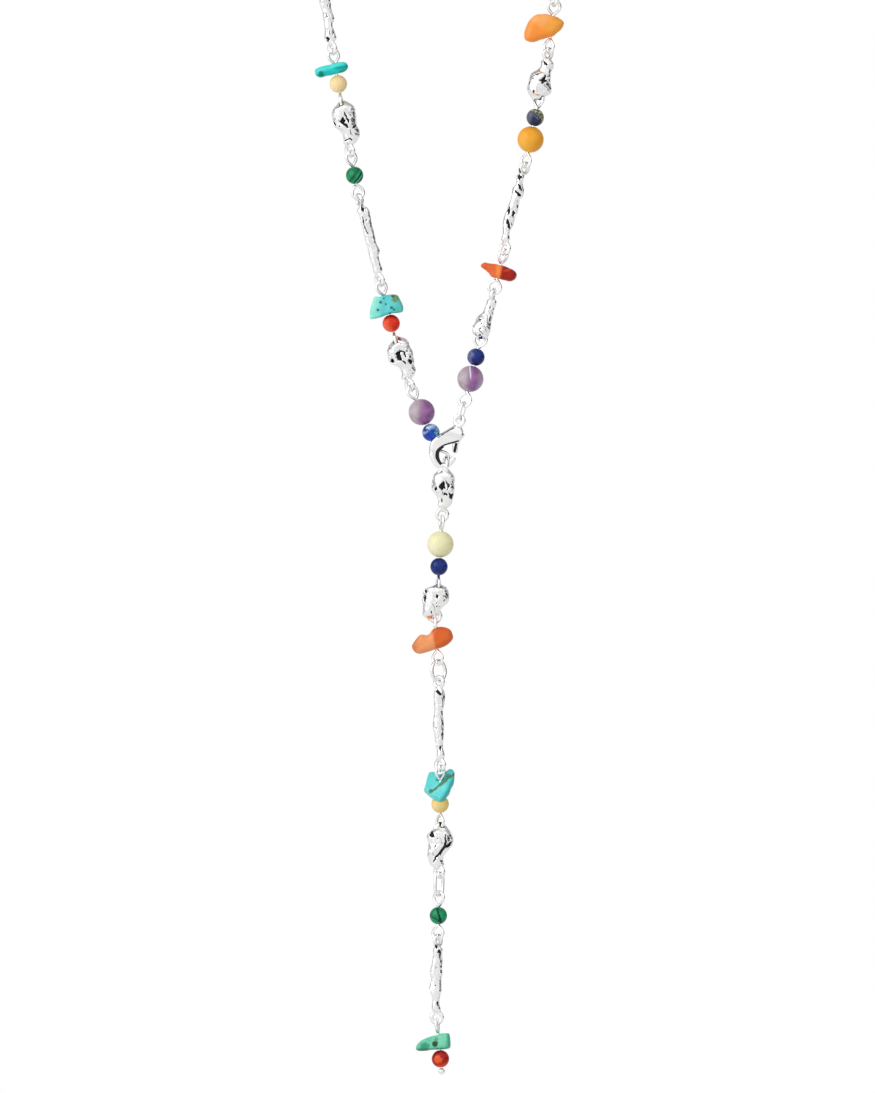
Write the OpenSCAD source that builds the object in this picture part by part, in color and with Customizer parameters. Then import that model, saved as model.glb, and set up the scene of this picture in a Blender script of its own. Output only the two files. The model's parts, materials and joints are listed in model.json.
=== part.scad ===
// Y necklace: cast bars and knots joined by wire pins with beads and chips, a lobster clasp and a hanging
// drop.
// Millimetres. Seen from the front +X is to the right, +Y runs back through the neck and +Z is up.
// The origin is where the chain sits on the nape.

/* [Pins] */
// Diameter of the wire bent into the eyes
eye_wire = 0.7; // [0.5:0.05:0.8]
// Outside diameter of an eye
eye_outer = 3.5; // [3.2:0.1:4.2]
// Diameter of the straight shank that carries the stones
shank_d = 0.6; // [0.4:0.05:0.65]
// Straight wire between the last stone and an eye
neck = 0.2; // [0.2:0.1:1]
// The same on the pin that meets the clasp
junction_neck = 2.5; // [2:0.1:3]
// Diameter of the ball at the tip of the drop
head_d = 1.5; // [1.2:0.1:2.2]

/* [Stones] */
// Diameter of the small round beads
small_bead = 4; // [3.4:0.1:4.4]
// Diameter of the large round beads
large_bead = 6; // [5:0.1:6.4]
// Bore through every stone
bore_d = 0.9; // [0.8:0.05:1.2]
// Length of the turquoise stick across the strand
stick_length = 7.6; // [6:0.1:9]
// Thickness of the turquoise stick along its pin
stick_height = 2.4; // [2:0.1:3]
// Length of the turquoise block across the strand
block_length = 8; // [6:0.1:9]
// Thickness of the turquoise block along its pin
block_height = 4.4; // [3.6:0.1:5]
// Length of the turquoise leaf across the strand
leaf_length = 6.9; // [6:0.1:8]
// Thickness of the turquoise leaf along its pin
leaf_height = 3.1; // [2.8:0.1:4]
// Length of the turquoise leaf up its slope
leaf_slope = 8; // [6.5:0.1:9]
// How far the leaf leans to the front
leaf_lean = 50; // [30:1:55]
// Length of the turquoise drop across the strand
drop_length = 8; // [6:0.1:9]
// Thickness of the turquoise drop along its pin
drop_height = 3.6; // [3:0.1:4.4]
// Length of the orange bean across the strand
bean_length = 9.2; // [7:0.1:10]
// Thickness of the orange bean along its pin
bean_height = 5.1; // [4:0.1:6]
// Length of the orange dart across the strand
dart_length = 8.2; // [6:0.1:9]
// Thickness of the orange dart along its pin
dart_height = 3.4; // [2.8:0.1:4.2]
// Length of the orange lobe across the strand
lobe_length = 9.4; // [7:0.1:10]
// Thickness of the orange lobe along its pin
lobe_height = 3.9; // [3.4:0.1:5]
// Depth of the chips from front to back
chip_depth = 4; // [3.4:0.1:5]

/* [Castings] */
// Diameter of the wire of the cast bails
bail_wire = 0.9; // [0.8:0.05:1]
// Outside diameter of the cast bails
bail_outer = 3.3; // [3.1:0.1:3.6]
// Length of a cast bar over its bails
bar_length = 22.1; // [18:0.1:24]
// Length of the last bar over its bails
last_bar_length = 20.8; // [18:0.1:24]
// Width of a cast bar
bar_width = 2.7; // [2:0.1:3]
// Depth of a cast bar
bar_depth = 2.2; // [1.8:0.1:3]
// Length of a cast knot over its bails
knot_length = 12.3; // [11:0.1:14]
// Length of a long cast knot over its bails
long_knot_length = 13; // [12:0.1:15]
// Width of a cast knot
knot_width = 5.7; // [4.6:0.1:6.4]
// Depth of a cast knot
knot_depth = 4.4; // [3.6:0.1:5.4]
// Length of the short knot in the drop over its bails
short_knot_length = 8.9; // [8.6:0.1:11]
// Wire of the wide bail that the clasp hooks into
wide_bail_wire = 0.8; // [0.7:0.05:0.9]
// Outside diameter of that bail
wide_bail_outer = 4.9; // [4.8:0.1:5.4]
// Length of the knot below the clasp, from the wide bail's centre to the far side of its lower bail
top_knot_length = 12.7; // [12:0.1:15]

/* [Rings] */
// Outside diameter of the jump ring in the drop
jump_outer = 5.5; // [4.8:0.1:6.5]
// Wire of the jump ring
jump_wire = 0.8; // [0.6:0.05:1]
// Length of the oval ring in the drop
oval_length = 5.8; // [5:0.1:7]
// Width of the oval ring
oval_width = 3.4; // [3.2:0.1:4]
// Wire of the oval ring and of the link at the clasp
oval_wire = 0.7; // [0.6:0.05:0.8]
// Length of the link at the clasp
link_length = 4.8; // [4.4:0.1:6]
// Width of the link at the clasp
link_width = 3; // [2.9:0.1:3.6]

/* [Clasp] */
// From the middle of the hook's bottom to the middle of the clasp's ring
clasp_length = 10.7; // [10.5:0.1:13]
// Width of the clasp across its hook and lever
clasp_width = 7; // [6.6:0.1:7.6]
// Depth of the clasp's shoulder
clasp_depth = 3; // [2.8:0.1:3.6]
// Thickness of the hook where the wide bail hangs
hook_d = 1.4; // [1.2:0.05:1.4]
// Outside diameter of the clasp's ring
clasp_ring_outer = 3; // [2.9:0.1:3.6]
// Wire of the clasp's ring
clasp_ring_wire = 0.85; // [0.7:0.05:0.9]
// Thickness of the lever
lever_depth = 1.1; // [0.9:0.1:1.3]
// Pin that the lever turns on
pivot_d = 0.7; // [0.6:0.05:0.8]

/* [Clearances] */
// Clear room between two links that hang in each other
link_gap = 0.15; // [0.1:0.01:0.16]
// Clear room between neighbouring stones, and between a stone and an eye's neck
stone_gap = 0.1; // [0.1:0.05:0.3]
// Room round an eye in the slot of a knot
slot_gap = 0.35; // [0.2:0.05:0.4]
// The same where the loop bends round the neck
bend_gap = 0.6; // [0.5:0.05:0.8]
// Room round the lever in its slot
lever_gap = 0.12; // [0.1:0.01:0.2]
// Room round the lever's pin
pivot_gap = 0.04; // [0.03:0.01:0.06]

/* [Hidden] */
$fn = 32;

// Points that the loop runs through, from the drop's top up the left side, round the neck and down the
// right side to the hook. They start at the last pin's eye, which lies behind the hook.
LOOP_ROUTE = [
    [-0.3, 0.85, 0], [-7.9, 2.1, 16.7], [-14.8, 0.9, 40.6], [-19.7, 0.4, 60.3], [-25.6, 0, 93.5],
    [-28.6, 1.2, 112], [-32, 6, 123], [-37.5, 14, 133], [-44, 26, 143], [-48.5, 44, 152.5],
    [-47, 67, 162], [-37, 87, 169], [-20, 101, 173], [0, 105, 174], [20, 101, 173], [37, 87, 169],
    [47, 67, 162], [48, 44, 152.5], [42.5, 26, 143], [35.8, 13, 133], [29.5, 2.6, 122.6],
    [24.9, 0, 104.9], [23.4, 0, 93.6], [18.1, 0, 67.5], [13.3, 0, 47.5], [8.1, 0, 28.4],
    [4.0, -0.3, 12.4], [0.2, -0.4, -1]
];
// Which of them lies on the nape
nape_index = 13;
// Points that the drop hangs through, from the same start
DROP_ROUTE = [
    [0, 0, 0], [-0.8, 0, -13.0], [-1.8, 0, -29.1], [-2.4, 0, -35.9], [-1.5, 0, -49.5], [-1.2, 0, -76.2],
    [-1.5, 0, -98.1], [-2.0, 0, -127.3], [-0.8, 0, -139.5]
];
// Middle of the neck, from front to back along the route
neck_middle = 52;

// Columns of the tables of links: node that the metal belongs to, kind of link, how far the ring at its
// far end is turned from facing front, and its stones as pairs of node and kind
NODE = 0;
KIND = 1;
TURN = 2;
STONES = 3;

LEFT_LINKS = [
    ["left_pins", "junction_pin", 40, [["left_lapis_bead", "small"], ["left_amethyst_bead", "large"]]],
    ["left_knot_2", "knot", -5, []],
    ["left_pins", "pin", 40, [["left_carnelian_bead", "small"], ["left_turquoise_block", "block"]]],
    ["left_bar_2", "bar", -65, []],
    ["left_pins", "pin", 40, [["left_malachite_bead", "small"]]],
    ["left_knot_1", "long_knot", -5, []],
    ["left_pins", "pin", 35, [["left_cream_bead", "small"], ["left_turquoise_stick", "stick"]]],
    ["left_bar_1", "bar", 0, []]
];
// One repeat of the strand's order, without the bar that closes it
REPEAT_LINKS = [
    ["back_pins", "pin", 90, [["back_orange_chips", "bean"]]],
    ["back_knots", "knot", 0, []],
    ["back_pins", "pin", 90, [["back_lapis_beads", "small"], ["back_yellow_beads", "large"]]],
    ["back_knots", "knot", 0, []],
    ["back_pins", "pin", 90, [["back_lapis_beads", "small"], ["back_amethyst_beads", "large"]]],
    ["back_knots", "knot", 0, []],
    ["back_pins", "pin", 90, [["back_carnelian_beads", "small"], ["back_turquoise_chips", "block"]]],
    ["back_bars", "bar", 0, []],
    ["back_pins", "pin", 90, [["back_malachite_beads", "small"]]],
    ["back_knots", "knot", 0, []],
    ["back_pins", "pin", 90, [["back_cream_beads", "small"], ["back_turquoise_chips", "stick"]]]
];
BACK_BAR = [["back_bars", "bar", 0, []]];
RIGHT_LINKS = [
    ["right_bar_1", "bar", 70, []],
    ["right_pins", "pin", 45, [["right_orange_bean", "bean"]]],
    ["right_knot_1", "knot", -40, []],
    ["right_pins", "pin", 45, [["right_lapis_bead_1", "small"], ["right_yellow_bead", "large"]]],
    ["right_bar_2", "bar", 40, []],
    ["right_pins", "pin", 10, [["right_orange_dart", "dart"]]],
    ["right_knot_2", "knot", -80, []],
    ["right_pins", "pin", 20, [["right_lapis_bead_2", "small"], ["right_amethyst_bead", "large"]]],
    ["right_link", "link", 110, []],
    ["clasp_body", "clasp", 0, []]
];
LOOP_LINKS = concat(LEFT_LINKS, REPEAT_LINKS, BACK_BAR, REPEAT_LINKS, RIGHT_LINKS);
DROP_LINKS = [
    ["drop_knot_1", "top_knot", -15, []],
    ["drop_pins", "pin", 80, [["drop_pale_bead", "large"], ["drop_lapis_bead", "small"]]],
    ["drop_knot_2", "short_knot", -5, []],
    ["drop_pins", "pin", 40, [["drop_orange_lobe", "lobe"]]],
    ["drop_jump_ring", "jump", 130, []],
    ["drop_bar_1", "bar", 40, []],
    ["drop_pins", "pin", 60, [["drop_turquoise_leaf", "leaf"], ["drop_cream_bead", "small"]]],
    ["drop_knot_3", "long_knot", 40, []],
    ["drop_oval_ring", "oval", 130, []],
    ["drop_pins", "pin", 35, [["drop_malachite_bead", "small"]]],
    ["drop_bar_2", "last_bar", 10, []],
    ["drop_pins", "head_pin", 0, [["drop_turquoise_drop", "drop"], ["drop_carnelian_bead", "small"]]]
];

// Sections of the chips. Columns: place along the length from the bore, height of the middle, half height
// and half depth, as shares of the chip's length, height and depth
STICK = [
    [-0.6, -0.32, 0.16, 0.2], [-0.56, -0.32, 0.4, 0.32], [-0.4, -0.22, 0.5, 0.36], [-0.15, -0.06, 0.46, 0.36],
    [0.1, 0.04, 0.48, 0.36], [0.28, 0.14, 0.5, 0.34], [0.36, 0.18, 0.4, 0.28], [0.4, 0.2, 0.16, 0.14]
];
BLOCK = [
    [-0.54, -0.14, 0.2, 0.24], [-0.5, -0.08, 0.42, 0.4], [-0.3, 0.02, 0.5, 0.48], [0, 0, 0.5, 0.5],
    [0.22, 0.03, 0.51, 0.5], [0.38, -0.02, 0.46, 0.44], [0.46, -0.2, 0.22, 0.26]
];
DROP = [
    [-0.62, -0.3, 0.12, 0.14], [-0.56, -0.26, 0.28, 0.3], [-0.35, -0.12, 0.4, 0.42], [0, 0, 0.5, 0.48],
    [0.22, 0.03, 0.5, 0.48], [0.35, 0.02, 0.46, 0.42], [0.39, 0.02, 0.34, 0.3]
];
BEAN = [
    [-0.72, -0.34, 0.12, 0.16], [-0.68, -0.36, 0.34, 0.32], [-0.5, -0.32, 0.52, 0.44],
    [-0.25, -0.14, 0.56, 0.5], [0, 0, 0.5, 0.5], [0.15, 0.06, 0.42, 0.44], [0.24, 0.1, 0.28, 0.3],
    [0.28, 0.12, 0.1, 0.12]
];
DART = [
    [-0.54, 0.3, 0.14, 0.14], [-0.5, 0.26, 0.26, 0.24], [-0.25, 0.08, 0.42, 0.38], [0, 0, 0.5, 0.45],
    [0.25, -0.06, 0.5, 0.45], [0.4, -0.12, 0.42, 0.36], [0.46, -0.14, 0.24, 0.2]
];
LOBE = [
    [-0.58, -0.32, 0.12, 0.16], [-0.5, -0.26, 0.32, 0.34], [-0.3, -0.14, 0.4, 0.42],
    [-0.08, -0.02, 0.46, 0.48], [0.12, 0.02, 0.52, 0.5], [0.3, 0.1, 0.42, 0.42], [0.4, 0.14, 0.18, 0.22]
];

// Outline of the leaf, across and up its slope from the bore, as shares of its length and its slope's length
LEAF = [
    [-0.52, -0.1], [-0.46, 0.2], [-0.38, 0.5], [-0.24, 0.53], [-0.04, 0.44], [0.14, 0.5], [0.3, 0.62],
    [0.42, 0.63], [0.48, 0.5], [0.42, 0.16], [0.3, -0.16], [0.12, -0.34], [-0.06, -0.37], [-0.28, -0.27]
];
// Layers of the leaf: height as a share of its thickness, and how far the outline shrinks
LEAF_LAYERS = [[-0.5, 0.84], [-0.3, 0.97], [0.3, 1], [0.5, 0.88]];

// Sections of the castings. Columns: place from the tail to the nose, shift to the side, shift to the front,
// half width and half depth, as shares of the casting's length between its bails, width and depth
BAR = [
    [0, 0, 0, 0.3, 0.3], [0.06, -0.03, 0.04, 0.38, 0.42], [0.18, -0.06, 0.06, 0.46, 0.44],
    [0.3, 0.02, -0.04, 0.4, 0.5], [0.42, 0.06, 0, 0.36, 0.42], [0.55, 0, 0.06, 0.46, 0.5],
    [0.68, -0.05, 0, 0.5, 0.44], [0.8, 0.03, -0.05, 0.42, 0.46], [0.9, 0.05, 0, 0.36, 0.4],
    [1, 0, 0, 0.28, 0.3]
];
KNOT = [
    [0, 0, 0, 0.19, 0.24], [0.12, 0.04, 0, 0.23, 0.3], [0.27, 0.06, 0, 0.23, 0.32],
    [0.35, 0.04, 0.02, 0.38, 0.42], [0.46, 0, 0.02, 0.48, 0.48], [0.62, -0.02, 0, 0.5, 0.5],
    [0.78, 0, 0, 0.49, 0.48], [0.9, 0, 0, 0.42, 0.42], [0.97, 0.02, 0, 0.3, 0.3], [1, 0.02, 0, 0.14, 0.16]
];
// The bar above the leaf turns the eye that hangs in front of it
leaf_eye_turn = -130;
// How far the wide bail under the clasp is turned from facing front
wide_bail_turn = 80;
// How far a knot's nose stops short of the far side of the bail that it wraps
nose_inset = 0.1;
// Folds round a casting: how many and how deep, as a share of its radius
knot_folds = 3;
knot_fold_depth = 0.1;
bar_folds = 2;
bar_fold_depth = 0.08;
fold_twist = 150;
casting_sides = 10;
chip_sides = 8;

// Centre line of the clasp from the hook's tip round its bottom to the ring. Columns: place to the side,
// height above the hook's bottom, half width, as shares of the clasp's width and length and of the hook's
// thickness, and half depth as a share of the way from the hook's thickness to the shoulder's
CLASP_LINE = [
    [0.17, 0.27, 0.29, -0.1], [0.15, 0.23, 0.49, -0.05], [0.09, 0.13, 0.53, -0.1], [0.01, 0.01, 0.51, -0.15],
    [-0.15, -0.04, 0.54, -0.15], [-0.30, 0.00, 0.66, 0], [-0.44, 0.13, 0.75, 0.05], [-0.50, 0.25, 0.89, 0.1],
    [-0.46, 0.39, 1.07, 0.3], [-0.31, 0.52, 1.16, 0.7], [-0.11, 0.63, 1.25, 1], [0.06, 0.71, 1.23, 0.95],
    [0.07, 0.80, 0.93, 0.6], [0.03, 0.88, 0.39, 0.1]
];
clasp_sides = 10;
// Where the lever's pin stands and how the lever runs, as shares of the clasp's width and length
pivot_side = 0.1;
pivot_up = 0.63;
lever_tip_side = 0.14;
lever_tip_up = 0.3;
lever_bow = -0.02;
// How far the lever's thumb pad stands from its pin
lever_pad = 1.25;
lever_width = 1.3;
lever_pad_width = 1.1;
// How far the lever opens inwards
lever_travel = 28;

eye_r = (eye_outer - eye_wire) / 2;
bail_r = (bail_outer - bail_wire) / 2;
wide_bail_r = (wide_bail_outer - wide_bail_wire) / 2;
clasp_ring_r = (clasp_ring_outer - clasp_ring_wire) / 2;
// The eye behind the hook rests this far above the wide bail's middle
junction_up = 0.6;

function is_pin(kind) = kind == "pin" || kind == "junction_pin" || kind == "head_pin";
function is_bar(kind) = kind == "bar" || kind == "last_bar";
function is_knot(kind) = kind == "knot" || kind == "long_knot" || kind == "short_knot" || kind == "top_knot";
function is_casting(kind) = is_bar(kind) || is_knot(kind);

function wire_of(kind) =
    is_pin(kind) ? eye_wire
    : is_casting(kind) ? bail_wire
    : kind == "jump" ? jump_wire
    : kind == "clasp" ? clasp_ring_wire
    : oval_wire;

// Distance between the wires' middles where two links hang in each other
function hang(a, b) = (wire_of(a) + wire_of(b)) / 2 + link_gap;

function stone_height(kind) =
    kind == "small" ? small_bead
    : kind == "large" ? large_bead
    : kind == "stick" ? stick_height
    : kind == "block" ? block_height
    : kind == "leaf" ? leaf_height
    : kind == "drop" ? drop_height
    : kind == "bean" ? bean_height
    : kind == "dart" ? dart_height
    : lobe_height;

function sum(list, i = 0) = i < len(list) ? list[i] + sum(list, i + 1) : 0;
function stack_height(stones) =
    sum([for (s = stones) stone_height(s[1])]) + stone_gap * (len(stones) + 1);

// From a stone's seat to the middle of the wire at an eye's far side
eye_reach = neck + eye_outer / 2 + eye_r;

// Length from the middle of the first end's wire to the middle of the last end's wire
function wire_length(link) =
    link[KIND] == "pin" ? stack_height(link[STONES]) + 2 * eye_reach
    : link[KIND] == "junction_pin" ? stack_height(link[STONES]) + 2 * eye_reach - neck + junction_neck
    : link[KIND] == "head_pin" ? stack_height(link[STONES]) + eye_reach + head_d
    : link[KIND] == "bar" ? bar_length - bail_wire
    : link[KIND] == "last_bar" ? last_bar_length - bail_wire
    : link[KIND] == "knot" ? knot_length - bail_wire
    : link[KIND] == "long_knot" ? long_knot_length - bail_wire
    : link[KIND] == "short_knot" ? short_knot_length - bail_wire
    : link[KIND] == "top_knot" ? top_knot_length - bail_wire / 2
    : link[KIND] == "jump" ? jump_outer - jump_wire
    : link[KIND] == "oval" ? oval_length - oval_wire
    : link[KIND] == "link" ? link_length - oval_wire
    : clasp_length + clasp_ring_r;

// What each link loses at its two ends, because the next link's wire lies inside its own
function start_lap(links, i) =
    links[i][KIND] == "junction_pin" ? hang("pin", "bar") / 2
    : links[i][KIND] == "top_knot" ? -junction_drop
    : hang(links[i - 1][KIND], links[i][KIND]) / 2;
function end_lap(links, i) =
    i == len(links) - 1 ? 0 : hang(links[i][KIND], links[i + 1][KIND]) / 2;
function pitch(links, i) = wire_length(links[i]) - start_lap(links, i) - end_lap(links, i);

// From the route's start down to the middle of the wide bail
junction_drop = hang("pin", "bar") / 2 + junction_up;

function running(list, i = 0, total = 0) =
    i < len(list) ? concat([total], running(list, i + 1, total + list[i])) : [total];

// A smooth line through the route's points
function tangent(p, i) =
    let (a = p[max(i - 1, 0)], b = p[min(i + 1, len(p) - 1)], m = p[i])
    (b - a) / (norm(b - m) + norm(m - a));
function hermite(p, i, t) =
    let (d = norm(p[i + 1] - p[i]))
    (2 * pow(t, 3) - 3 * pow(t, 2) + 1) * p[i] + (pow(t, 3) - 2 * pow(t, 2) + t) * d * tangent(p, i)
    + (3 * pow(t, 2) - 2 * pow(t, 3)) * p[i + 1] + (pow(t, 3) - pow(t, 2)) * d * tangent(p, i + 1);
route_steps = 10;
function smooth(p) = concat(
    [for (i = [0 : len(p) - 2]) for (k = [0 : route_steps - 1]) hermite(p, i, k / route_steps)],
    [p[len(p) - 1]]
);
function lengths(p) = running([for (i = [0 : len(p) - 2]) norm(p[i + 1] - p[i])]);
function along(p, l, s) =
    let (i = min(len([for (v = l) if (v <= s) 1]) - 1, len(p) - 2))
    p[i] + (p[i + 1] - p[i]) * (s - l[i]) / (l[i + 1] - l[i]);

function last(list) = list[len(list) - 1];
function unit(v) = v / norm(v);

// The loop is as long as its links, so the whole route grows or shrinks with them
loop_line = smooth(LOOP_ROUTE);
loop_lengths = lengths(loop_line);
loop_marks = running([for (i = [0 : len(LOOP_LINKS) - 1]) pitch(LOOP_LINKS, i)]);
loop_scale = last(loop_marks) / last(loop_lengths);
junction = -loop_scale * LOOP_ROUTE[nape_index];
loop_joints = [for (s = loop_marks) junction + loop_scale * along(loop_line, loop_lengths, s / loop_scale)];

drop_line = smooth(DROP_ROUTE);
drop_lengths = lengths(drop_line);
drop_marks = running([for (i = [0 : len(DROP_LINKS) - 1]) pitch(DROP_LINKS, i)]);
drop_scale = last(drop_marks) / last(drop_lengths);
drop_joints = [for (s = drop_marks) junction + drop_scale * along(drop_line, drop_lengths, s / drop_scale)];

// Outwards from the neck: to the front along the strands that show, and turning with the loop behind them
function outward(p) =
    let (y = p[1] - junction[1])
    [p[0] * min(1, max(0, y / 40)), y - neck_middle * loop_scale, 0];

// Puts children at a link: +Z runs along it, +X faces outwards
module on_link(joints, i) {
    a = joints[i];
    z = unit(joints[i + 1] - a);
    front = outward((a + joints[i + 1]) / 2);
    x = unit(front - (front * z) * z);
    y = cross(z, x);
    multmatrix([
        [x[0], y[0], z[0], a[0]],
        [x[1], y[1], z[1], a[1]],
        [x[2], y[2], z[2], a[2]],
        [0, 0, 0, 1]
    ]) children();
}

// A solid through rings of points, closed at both ends
module loft(rings) {
    n = len(rings[0]);
    m = len(rings);
    points = [for (ring = rings) for (p = ring) p];
    sides = [for (i = [0 : m - 2]) for (j = [0 : n - 1])
        [i * n + j, i * n + (j + 1) % n, (i + 1) * n + (j + 1) % n, (i + 1) * n + j]];
    triangles = [for (q = sides) each [[q[0], q[2], q[1]], [q[0], q[3], q[2]]]];
    start = [for (j = [0 : n - 1]) j];
    end = [for (j = [n - 1 : -1 : 0]) (m - 1) * n + j];
    polyhedron(points = points, faces = concat([start], triangles, [end]));
}

// A ring of wire round the X axis
module ring(radius, wire) {
    rotate([0, 90, 0]) rotate_extrude() translate([radius, 0]) circle(d = wire);
}

// A long ring in the YZ plane from z = 0, the middle of its first end's wire
module long_ring(outer_length, outer_width, wire) {
    r = (outer_width - wire) / 2;
    straight = outer_length - outer_width;
    translate([0, 0, r + straight / 2]) rotate([0, 90, 0]) {
        for (side = [-1, 1]) {
            translate([side * straight / 2, 0, 0])
                rotate([0, 0, side > 0 ? -90 : 90])
                    rotate_extrude(angle = 180) translate([r, 0]) circle(d = wire);
            translate([-straight / 2, side * r, 0]) rotate([0, 90, 0]) cylinder(d = wire, h = straight);
        }
    }
}

// Pins

module pin_metal(links, i) {
    link = links[i];
    first = start_lap(links, i);
    first_neck = link[KIND] == "junction_pin" ? junction_neck : neck;
    seat = first_neck + eye_outer / 2 + eye_r - first;
    stack = stack_height(link[STONES]);
    start_turn = link[KIND] == "junction_pin" ? 0 : links[i - 1][TURN] + 90;
    rotate([0, 0, start_turn]) translate([0, 0, eye_r - first]) ring(eye_r, eye_wire);
    if (link[KIND] == "head_pin") {
        translate([0, 0, 2 * eye_r - first])
            cylinder(d = shank_d, h = stack + seat - 2 * eye_r + first + head_d / 2);
        translate([0, 0, seat + stack + head_d / 2]) sphere(d = head_d);
    } else {
        far = pitch(links, i) + end_lap(links, i) - eye_r;
        translate([0, 0, 2 * eye_r - first]) cylinder(d = shank_d, h = far - eye_r - (2 * eye_r - first));
        rotate([0, 0, link[TURN]]) translate([0, 0, far]) ring(eye_r, eye_wire);
    }
}

// Stones

module bead(diameter) {
    difference() {
        sphere(d = diameter);
        cylinder(d = bore_d, h = diameter + 1, center = true);
    }
}

module chip(sections, length, height, depth = chip_depth) {
    difference() {
        flat = sin(90 - 180 / chip_sides);
        loft([for (s = sections) [for (j = [chip_sides - 1 : -1 : 0])
            let (a = 360 * (j + 0.5) / chip_sides)
            [s[3] * depth * cos(a), s[0] * length, height * (s[1] + s[2] * sin(a) / flat)]]]);
        cylinder(d = bore_d, h = 4 * height, center = true);
    }
}

// The leaf leans to the front over the bead below it, and is hollowed for that bead and for the eye above
module leaf() {
    difference() {
        rotate([0, leaf_lean, 0]) loft([for (v = LEAF_LAYERS)
            [for (k = [len(LEAF) - 1 : -1 : 0]) let (p = LEAF[k])
            [-p[1] * v[1] * leaf_slope, p[0] * v[1] * leaf_length, v[0] * leaf_height * cos(leaf_lean)]]]);
        cylinder(d = bore_d, h = 4 * leaf_height, center = true);
        translate([0, 0, -leaf_height / 2 - stone_gap - small_bead / 2])
            rotate([0, 90, 0]) sphere(d = small_bead + 2 * stone_gap);
        translate([0, 0, leaf_height / 2 + stone_gap + neck + eye_outer / 2])
            rotate([0, 90, leaf_eye_turn])
                cylinder(d = eye_outer + 2 * slot_gap, h = eye_wire + 2 * slot_gap, center = true);
    }
}

module stone_shape(kind) {
    if (kind == "small") bead(small_bead);
    if (kind == "large") bead(large_bead);
    if (kind == "stick") chip(STICK, stick_length, stick_height);
    if (kind == "block") chip(BLOCK, block_length, block_height);
    if (kind == "leaf") leaf();
    if (kind == "drop") chip(DROP, drop_length, drop_height);
    if (kind == "bean") chip(BEAN, bean_length, bean_height);
    if (kind == "dart") chip(DART, dart_length, dart_height);
    if (kind == "lobe") chip(LOBE, lobe_length, lobe_height);
}

// Draws the stones of one node, each the same way up
module stones_on(links, joints, name) {
    for (i = [0 : len(links) - 1]) {
        stones = links[i][STONES];
        down = joints[i + 1][2] < joints[i][2];
        for (k = [0 : 1 : len(stones) - 1]) {
            if (stones[k][0] == name) {
                first_neck = links[i][KIND] == "junction_pin" ? junction_neck : neck;
                seat = first_neck + eye_outer / 2 + eye_r - start_lap(links, i);
                below = sum([for (m = [0 : 1 : k - 1]) stone_height(stones[m][1]) + stone_gap]);
                on_link(joints, i)
                    translate([0, 0, seat + stone_gap + below + stone_height(stones[k][1]) / 2])
                        rotate([down ? 180 : 0, 0, 0]) stone_shape(stones[k][1]);
            }
        }
    }
}

// Castings

// The irregular body between two bails, from z = 0 at its tail
module casting_body(sections, length, width, depth, folds, fold_depth) {
    loft([for (s = sections) [for (j = [0 : casting_sides - 1])
        let (a = 360 * j / casting_sides, f = 1 + fold_depth * cos(folds * a + fold_twist * s[0]))
        [depth * (s[2] + s[4] * f * cos(a)), width * (s[1] + s[3] * f * sin(a)), s[0] * length]]]);
}

// A knot reaches round its bail, so a slot is left for the eye that hangs there
module eye_slot(turn, contact, end, gap) {
    deep = contact - (hang("pin", "bar") + eye_wire) / 2 - gap;
    rotate([0, 0, turn + 90]) translate([-eye_wire / 2 - gap, -knot_width, deep])
        cube([eye_wire + 2 * gap, 2 * knot_width, end + 1 - deep]);
}

module casting_metal(links, i, upside_down) {
    kind = links[i][KIND];
    first = start_lap(links, i);
    last_z = pitch(links, i) + end_lap(links, i);
    start_turn = kind == "top_knot" ? wide_bail_turn : links[i - 1][TURN] + 90;
    start_r = kind == "top_knot" ? wide_bail_r : bail_r;
    start_wire = kind == "top_knot" ? wide_bail_wire : bail_wire;
    start_z = kind == "top_knot" ? -first : bail_r - first;
    // The nose wraps its bail, except under the wide bail
    wraps_start = is_knot(kind) && upside_down && kind != "top_knot";
    wraps_end = is_knot(kind) && !upside_down;
    body_start = wraps_start ? -first - bail_wire / 2 + nose_inset
        : kind == "top_knot" ? start_z + 0.6 * start_r
        : start_z + start_r - start_wire / 4;
    body_end = wraps_end ? last_z + bail_wire / 2 - nose_inset : last_z - 2 * bail_r + bail_wire / 4;
    rotate([0, 0, start_turn]) translate([0, 0, start_z]) ring(start_r, start_wire);
    rotate([0, 0, links[i][TURN]]) translate([0, 0, last_z - bail_r]) ring(bail_r, bail_wire);
    difference() {
        length = body_end - body_start;
        translate([0, 0, upside_down ? body_end : body_start]) rotate([upside_down ? 180 : 0, 0, 0]) {
            if (is_bar(kind))
                casting_body(BAR, length, bar_width, bar_depth, bar_folds, bar_fold_depth);
            else
                casting_body(KNOT, length, knot_width, knot_depth, knot_folds, knot_fold_depth);
        }
        gap = links[i][NODE] == "back_knots" ? bend_gap : slot_gap;
        if (wraps_end) eye_slot(links[i][TURN], pitch(links, i), body_end, gap);
        if (wraps_start) rotate([180, 0, 0]) eye_slot(-start_turn, 0, -body_start, gap);
    }
}

// Clasp

// Puts children in the clasp's own frame: the middle of the hook's bottom is its origin, +Z runs up to the
// ring, +X faces the front and +Y points to the lever
module on_clasp() {
    i = len(LOOP_LINKS) - 1;
    on_link(loop_joints, i) translate([0, 0, pitch(LOOP_LINKS, i)]) rotate([180, 0, 0]) children();
}

function clasp_half(s) = s[2] * hook_d;
function clasp_half_depth(s) = hook_d / 2 + s[3] * (clasp_depth - hook_d) / 2;

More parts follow.
